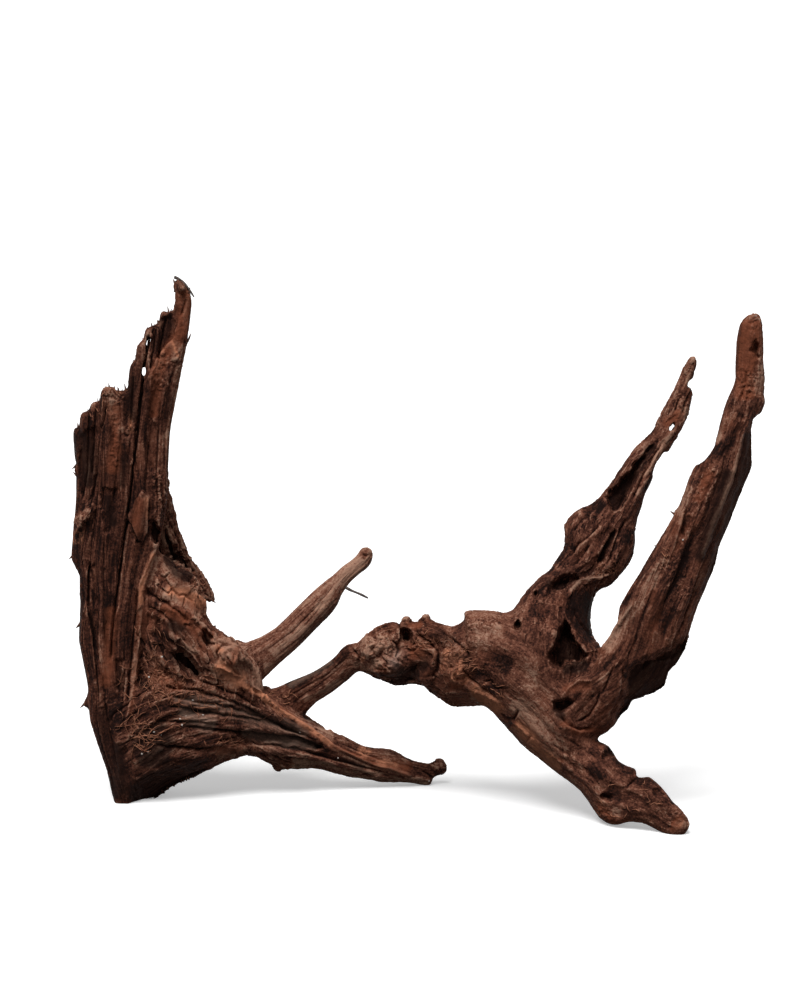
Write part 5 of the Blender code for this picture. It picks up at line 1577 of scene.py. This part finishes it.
class Nodes:
    """Short calls to add and join shader nodes of one material."""

    def __init__(self, name):
        self.material = bpy.data.materials.new(name)
        self.material.use_nodes = True
        self.tree = self.material.node_tree
        self.shader = self.tree.nodes["Principled BSDF"]

    def add(self, kind, **settings):
        node = self.tree.nodes.new(kind)
        for key, value in settings.items():
            setattr(node, key, value)
        return node

    def join(self, source, target):
        self.tree.links.new(source, target)

    def attribute(self, name, output="Fac"):
        return self.add("ShaderNodeAttribute", attribute_name=name).outputs[output]

    def math(self, operation, a, b=None, clamp=False):
        node = self.add("ShaderNodeMath", operation=operation, use_clamp=clamp)
        for slot, value in zip(node.inputs, (a, b)):
            if isinstance(value, (int, float)):
                slot.default_value = value
            elif value is not None:
                self.join(value, slot)
        return node.outputs[0]

    def swing(self, value, gain):
        """A value between 0 and 1 made to swing about zero: one half less, times the gain."""
        return self.math("MULTIPLY", self.math("SUBTRACT", value, 0.5), gain)

    def noise(self, vector, scale, detail, roughness):
        node = self.add("ShaderNodeTexNoise")
        set_inputs(node, {"Scale": scale, "Detail": detail, "Roughness": roughness})
        self.join(vector, node.inputs["Vector"])
        return node.outputs["Fac"]

    def mix(self, factor, under, colour):
        node = self.add("ShaderNodeMix", data_type="RGBA")
        self.join(factor, node.inputs["Factor"])
        self.join(under, node.inputs["A"])
        node.inputs["B"].default_value = colour
        return node.outputs["Result"]

    def ramp(self, factor, stops):
        node = self.add("ShaderNodeValToRGB")
        ramp = node.color_ramp
        while len(ramp.elements) < len(stops):
            ramp.elements.new(0.5)
        for element, (position, colour) in zip(ramp.elements, stops):
            element.position = position
            element.color = colour
        self.join(factor, node.inputs["Fac"])
        return node.outputs["Color"]


print("the wood's ramp has", len(WOOD_RAMP), "browns")

# %% The wood's own material
# Noise scales per metre, and how far pores and flecks move the tone
FIBRE_SCALE, PORE_SCALE, FLECK_SCALE = 800.0, 700.0, 240.0
PORE_GAIN, FLECK_GAIN = 1.1, 0.65
FIBRE_LENGTHENED = (0.06, 1.0, 1.0)
# Between these values of the fibre noise a dark thread shows, so strongly at most
THREAD = {"From Min": 0.56, "From Max": 0.68, "To Max": 0.6}
BUMP_DISTANCE = 1.1 * MM


def weathered_root():
    """Red-brown weathered wood with fibres, pores, rust, ash, orange, and char that also holds painted shade:
    the place on the ramp is the stored tone, which carries painted light and shade too, plus swings of three
    noises, and each stain is mixed over by its mask times a noise."""
    n = Nodes("weathered_root")
    wear_and_light_split = n.add("ShaderNodeSeparateColor")
    stain_and_shade_split = n.add("ShaderNodeSeparateColor")
    n.join(n.attribute("wear_and_painted_light", "Color"), wear_and_light_split.inputs[0])
    n.join(n.attribute("stain_and_shade", "Color"), stain_and_shade_split.inputs[0])
    crest_out, tone_out, low_out = wear_and_light_split.outputs
    rust_out, ash_out, char_and_shade_out = stain_and_shade_split.outputs
    lengthened = n.add("ShaderNodeVectorMath", operation="MULTIPLY")
    n.join(n.attribute("grain", "Vector"), lengthened.inputs[0])
    lengthened.inputs[1].default_value = FIBRE_LENGTHENED
    fibre = n.noise(lengthened.outputs[0], FIBRE_SCALE, 4.0, 0.65)
    spot = n.add("ShaderNodeTexCoord").outputs["Object"]
    pores = n.noise(spot, PORE_SCALE, 4.0, 0.65)
    flecks = n.noise(spot, FLECK_SCALE, 4.0, 0.65)
    fibrous_out = n.attribute("fibrous")
    swings = n.swing(fibre, n.math("ADD", 0.5, n.math("MULTIPLY", fibrous_out, 0.8)))
    swings = n.math("ADD", swings, n.swing(pores, PORE_GAIN))
    swings = n.math("ADD", swings, n.swing(flecks, FLECK_GAIN))
    where = n.math("ADD", tone_out, swings, clamp=True)
    colour = n.ramp(where, WOOD_RAMP)
    thread = n.add("ShaderNodeMapRange", interpolation_type="SMOOTHSTEP")
    n.join(fibre, thread.inputs["Value"])
    set_inputs(thread, THREAD)
    colour = n.mix(n.math("MULTIPLY", thread.outputs[0], fibrous_out), colour, BLACK_BROWN)
    colour = n.mix(n.math("MULTIPLY", rust_out, n.math("ADD", flecks, 0.25), clamp=True), colour, RUST)
    colour = n.mix(n.math("MULTIPLY", ash_out, n.math("ADD", fibre, 0.15), clamp=True), colour, ASH)
    bright = n.math("MULTIPLY", where, 1.4, clamp=True)
    colour = n.mix(n.math("MULTIPLY", n.attribute("orange"), bright), colour, ORANGE_TAN)
    # The char mask is black-brown stain and painted shade in hollows, pockets and undersides
    colour = n.mix(n.math("MULTIPLY", char_and_shade_out, 0.9, clamp=True), colour, CHAR_AND_SHADE)
    colour = n.mix(n.attribute("pale"), colour, PALE)
    n.join(colour, n.shader.inputs["Base Color"])
    rough = n.math("ADD", 0.72, n.math("MULTIPLY", low_out, 0.2))
    rough = n.math("SUBTRACT", rough, n.math("MULTIPLY", crest_out, 0.18))
    n.join(n.math("ADD", rough, n.swing(pores, 0.3), clamp=True), n.shader.inputs["Roughness"])
    set_inputs(n.shader, {"Specular IOR Level": 0.06})
    height = n.math("ADD", n.math("MULTIPLY", fibre, 0.8), n.math("MULTIPLY", pores, 0.6))
    height = n.math("ADD", height, n.math("MULTIPLY", flecks, 0.8))
    bump = n.add("ShaderNodeBump")
    set_inputs(bump, {"Strength": 1.0, "Distance": BUMP_DISTANCE})
    n.join(height, bump.inputs["Height"])
    n.join(bump.outputs["Normal"], n.shader.inputs["Normal"])
    return n.material


root_wood = weathered_root()
print("material", root_wood.name, len(root_wood.node_tree.nodes), "nodes")

# %% [markdown]
# ## Pieces of the skin
# One mesh of this size would be thinned when it is exported, so the skin is parted like a loaf, by upright
# planes from left to right. Each part is capped inside the wood, where nobody sees it, and keeps the whole
# skin's normals, so that no seam shows.

# %% Parting the skin
SKIN_PARTS = ("slab_skin", "heart_skin", "fan_skin", "branches_skin", "neck_skin", "body_skin", "arms_skin")
quad_middle = shaped[quads].mean(axis=1)[:, 0]
borders = np.quantile(quad_middle, np.linspace(0, 1, len(SKIN_PARTS) + 1))[1:-1]
part_of = np.searchsorted(borders, quad_middle)


def dress(piece):
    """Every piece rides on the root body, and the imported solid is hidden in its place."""
    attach(piece, "root")
    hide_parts("driftwood")


# What is stored with the points: its kind, the name of its field, and the values
MASKS = {
    "wear_and_painted_light": ("FLOAT_COLOR", "color", wear_and_painted_light), "stain_and_shade": ("FLOAT_COLOR", "color", stain_and_shade),
    "grain": ("FLOAT_VECTOR", "vector", grain), "fibrous": ("FLOAT", "value", fibrous),
    "orange": ("FLOAT", "value", broken(marks["orange"])), "pale": ("FLOAT", "value", marks["pale"] * ragged),
}


def skin_piece(name, chosen):
    """A part of the skin with its cut ends capped, its masks, and normals from the whole."""
    used = np.unique(chosen)
    lookup = np.full(len(shaped), -1)
    lookup[used] = np.arange(len(used))
    part = mesh_of(name, shaped[used], lookup[chosen])
    bm = bmesh.new()
    bm.from_mesh(part)
    rims = [edge for edge in bm.edges if edge.is_boundary]
    caps = bmesh.ops.holes_fill(bm, edges=rims, sides=0)["faces"]
    bm.to_mesh(part)
    bm.free()
    for mask, (kind, field, values) in MASKS.items():
        layer = part.attributes.new(mask, kind, "POINT")
        layer.data.foreach_set(field, np.asarray(values[used], np.float32).ravel())
    part.materials.append(root_wood)
    part.shade_smooth()
    part.normals_split_custom_set_from_vertices(normals[used])
    dress(scene_object(name, part))
    print(name, "triangles", sum(len(face.vertices) - 2 for face in part.polygons), "caps", len(caps))


for number, name in enumerate(SKIN_PARTS):
    skin_piece(name, quads[part_of == number])

# %% [markdown]
# ## Splinters
# The slab's staves did not end cleanly: they tore, and left thin points of wood along their tops and at
# other broken edges. They are too thin for the voxel skin, so they are tubes of their own that taper to a
# point. Hair particles could do the same, but these have to be closed solids.

# %% Splinters
# Where splinters stand along a torn edge: how many, lean, longest rise in steps, then the edge
TORN_EDGES = (
    (46, 2.5, 9.0, 76,428, 80,421, 92,410, 99,403, 103,393, 108,390, 116,392, 127,392, 129,380, 133,364,
     141,347, 146,334, 151,330), (24, 1.5, 8.0, 151,331, 157,326, 163,316, 168,313, 174,312, 176,296),
    (8, 4.0, -4.0, 188,578, 198,586, 206,590, 210,588), (9, 3.0, 3.0, 466,618, 472,612, 488,613, 508,614),
)
# Single ones: root (across, down), tip (across, down), root radius
SHARDS = (
    (182,348, 191,333, 1.8), (179,354, 188,341, 1.6), (82,458, 72,469, 2.6), (82,484, 73,472, 2.4),
    (80,547, 69,559, 3.0), (85,617, 76,628, 3.2), (89,697, 80,708, 2.4), (198,594, 216,603, 2.4),
    (680,520, 670,511, 2.4), (666,554, 654,545, 2.4), (286,689, 276,697, 1.6),
    (176,292, 173,279, 2.4), (181,292, 179,280, 2.4), (185,300, 190,287, 2.0),
    (147,352, 147,326, 1.9), (152,346, 152,325, 1.6), (141,366, 140,343, 1.9),
    (134,392, 134,366, 1.9), (157,342, 158,320, 1.6), (164,334, 163,312, 1.6),
    (103,412, 103,388, 1.8), (128,402, 129,386, 1.8), (92,424, 91,405, 1.6),
)
RANDOM_SEED = 7
rng = np.random.default_rng(RANDOM_SEED)
wood.data = mesh_of("whole_skin", shaped, quads)
bpy.context.view_layer.update()
print("torn edges", len(TORN_EDGES), "single splinters", len(SHARDS))


# %% A splinter and a torn edge
def spread_along(numbers, shares):
    """Places along a line of points at the given shares of its length."""
    line = as_points(numbers)
    ends = np.concatenate([[0], np.cumsum(np.linalg.norm(np.diff(line, axis=0), axis=1))])
    return np.stack([np.interp(shares * ends[-1], ends, line[:, k]) for k in range(2)], 1)


def depth_inside(across, down, share):
    """How far behind the sheet the wood's inside lies there: a share of the way from the skin that the eye
    sees to the skin on the far side."""
    near = sight_hit(across, down, False)[0]
    far = sight_hit(across, down, True)[0]
    if near is None or far is None:
        return None
    return (near[1] + share * (far[1] - near[1])) / STEP + ORIGIN[1]


def shard(across, down, tip_across, tip_down, radius, share=0.5):
    """A tube from a root inside the wood to a point: it bends by a sine of its run, and its radius falls
    with the root of the distance to the tip."""
    behind = depth_inside(across, down, share)
    if behind is None:
        return None
    run = np.linspace(0, 1, 7)
    bend = 0.08 * np.sin(math.pi * run) * math.hypot(tip_across - across, tip_down - down)
    line = place(across + run * (tip_across - across) + bend, down + run * (tip_down - down), behind)
    return closed_tube(tube_along(line, radius * STEP * (1.02 - run) ** 0.6, 6))


splinters = [shard(*row) for row in SHARDS]
for count, lean, rise, *edge in TORN_EDGES:
    roots = spread_along(edge, (np.arange(count) + rng.random(count)) / count)
    heights = rise * (0.35 + 0.65 * rng.random(count))
    leans = lean * (rng.random(count) - 0.2)
    shares = 0.15 + 0.7 * rng.random(count)
    for (x, y), height, slant, share in zip(roots, heights, leans, shares):
        splinters.append(shard(x, y + 6, x + slant, y - height, 1.0 + 0.9 * rng.random(), share))
splinters = found(splinters)
print("splinters", len(splinters))


# %% Plain pieces and their finishes
def plain_piece(name, parts, material):
    """One piece from many small closed shells."""
    mesh = mesh_of(name, *joined(parts))
    mesh.materials.append(material)
    mesh.shade_smooth()
    dress(scene_object(name, mesh))
    print(name, "triangles", len(mesh.polygons))


def small_finish(name, dark, light, scale, roughness):
    """A plain dull finish whose colour wanders between two browns."""
    n = Nodes(name)
    spot = n.add("ShaderNodeTexCoord").outputs["Object"]
    patches = n.noise(spot, scale, 3.0, 0.6)
    n.join(n.ramp(patches, ((0.35, dark), (0.65, light))), n.shader.inputs["Base Color"])
    set_inputs(n.shader, {"Roughness": roughness, "Specular IOR Level": 0.15})
    return n.material


splinter_wood = small_finish("torn_wood", (0.030, 0.012, 0.008, 1), (0.190, 0.085, 0.052, 1), 260.0, 0.85)
plain_piece("torn_splinters", splinters, splinter_wood)

# %% [markdown]
# ## Root fibres
# Thin reddish roots still cling to the heart, the fan and the neck, in tangles and tufts. Each is a fine
# tube. It starts at a place on the sheet and wanders in curling steps, and at every step the eye's ray
# finds the skin, so that the fibre lies on it with small lifts, like a hair on a table.

# %% Root fibres
# Middle (across, down), spread across and down, how many, heading in degrees, its scatter, length in steps
TANGLES = (
    (164, 680, 22, 18, 90, 20, 180, 16), (134, 736, 12, 10, 34, -10, 60, 24),
    (188, 700, 36, 10, 30, 12, 25, 18), (150, 640, 12, 30, 24, 80, 60, 12),
    (200, 690, 30, 14, 30, 25, 60, 14), (230, 742, 26, 8, 20, 5, 40, 14), (118, 394, 14, 3, 16, -90, 40, 7),
    (98, 410, 14, 10, 16, -80, 30, 9), (203, 588, 9, 14, 20, 60, 30, 10), (452, 668, 14, 18, 60, -70, 60, 15),
    (418, 640, 14, 10, 24, 30, 90, 10), (276, 700, 14, 10, 24, 35, 50, 12),
    (380, 640, 16, 10, 16, 10, 120, 8), (488, 690, 14, 8, 12, 40, 60, 10), (620, 800, 26, 14, 16, 35, 40, 10),
    (664, 550, 8, 14, 10, 60, 60, 8), (606, 572, 16, 8, 14, -20, 60, 9), (130, 700, 16, 40, 10, 85, 30, 14),
)
CRUMBS = (
    149,677, 162,657, 193,700, 180,719, 182,725, 203,715, 154,732, 161,735, 148,752, 142,754, 186,716,
     300,732, 332,700, 338,758, 560,548, 683,540, 756,316, 759,319, 429,781, 433,779,
)
FIBRE_STEPS = 7
TURN_SPREAD = 0.45
LONGEST_JUMP = 4.5 * MM


def fibre(x, y, heading, length, from_behind):
    """A 3-sided tube on the skin: steps of equal length whose heading drifts by a random walk, ended where
    the skin falls away."""
    turns = np.cumsum(rng.normal(0, TURN_SPREAD, FIBRE_STEPS)) + math.radians(heading)
    steps = np.stack([np.cos(turns), np.sin(turns)], 1) * length / FIBRE_STEPS
    path = np.array((x, y)) + np.cumsum(steps, axis=0)
    line = []
    for px, py in path:
        spot, sight = sight_hit(px, py, from_behind)
        if spot is None or (line and np.linalg.norm(spot - line[-1]) > LONGEST_JUMP):
            break
        line.append(spot - sight * (0.25 + 0.9 * rng.random() ** 3) * MM)
    if len(line) < 4:
        return None
    radii = (0.20 + 0.26 * rng.random()) * MM * np.sin(np.linspace(0.5, math.pi - 0.35, len(line)))
    return closed_tube(tube_along(np.array(line), radii, 3))


fibres = []
for x, y, wide, high, count, heading, scatter, length in TANGLES:
    for from_behind, shift in SIDES:
        for _ in range(count):
            spot_x = x + shift[0] + wide * rng.normal(0, 0.6)
            spot_y = y + shift[1] + high * rng.normal(0, 0.6)
            way = heading + scatter * (rng.random() - 0.5) * 2
            fibres.append(fibre(spot_x, spot_y, way, length * (0.5 + rng.random()), from_behind))
fibres = found(fibres)
fibre_finish = small_finish("root_fibre", (0.120, 0.038, 0.020, 1), (0.440, 0.190, 0.110, 1), 420.0, 0.8)
plain_piece("root_fibres", fibres, fibre_finish)

# %% Crumbs
crumbs = []
for x, y in as_points(CRUMBS):
    spot, sight = sight_hit(x, y, False)
    if spot is not None:
        size = (0.30 + 0.35 * rng.random()) * MM
        stretch = 1 + 0.9 * rng.random(3)
        crumbs.append(closed_tube(ball(np.zeros(3), 1.0, 8) * stretch * size + spot))
crumb_finish = small_finish("pale_crumb", (0.40, 0.33, 0.29, 1), (0.72, 0.66, 0.60, 1), 900.0, 0.7)
plain_piece("pale_crumbs", crumbs, crumb_finish)

# %% [markdown]
# ## Twigs
# A thin grey twig lies behind the upper branch, and a dark sliver caps the tip of the slab. Both are bent
# tubes with a few knots in their radius.

# %% Twig and sliver
# Points (across, down) from root to tip, behind, root and tip radius in steps
TWIGS = {
    "grey_twig": ((332,581, 345,587, 350,590, 360,594, 368,598), 90, 1.7, 1.1),
    "slab_sliver": ((174,277, 179,279, 184,283, 189,289, 194,297), 9, 1.5, 0.8),
}
twig_finish = small_finish("grey_twig_bark", (0.045, 0.034, 0.030, 1), (0.170, 0.135, 0.120, 1), 500.0, 0.75)
for name, (line, behind, root_radius, tip_radius) in TWIGS.items():
    run = np.linspace(0, 1, 16)
    spots = spread_along(line, run)
    radii = (root_radius + run * (tip_radius - root_radius)) * (1 + 0.12 * np.sin(17 * run)) * STEP
    tube = tube_along(place(spots[:, 0], spots[:, 1], behind), radii, 10)
    plain_piece(name, [closed_tube(tube)], twig_finish)
bpy.data.objects.remove(wood)

# %% Size and finish
size = {"cad": [list(corner) for corner in cad_box], "visual": [list(corner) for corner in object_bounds()]}
print(size)
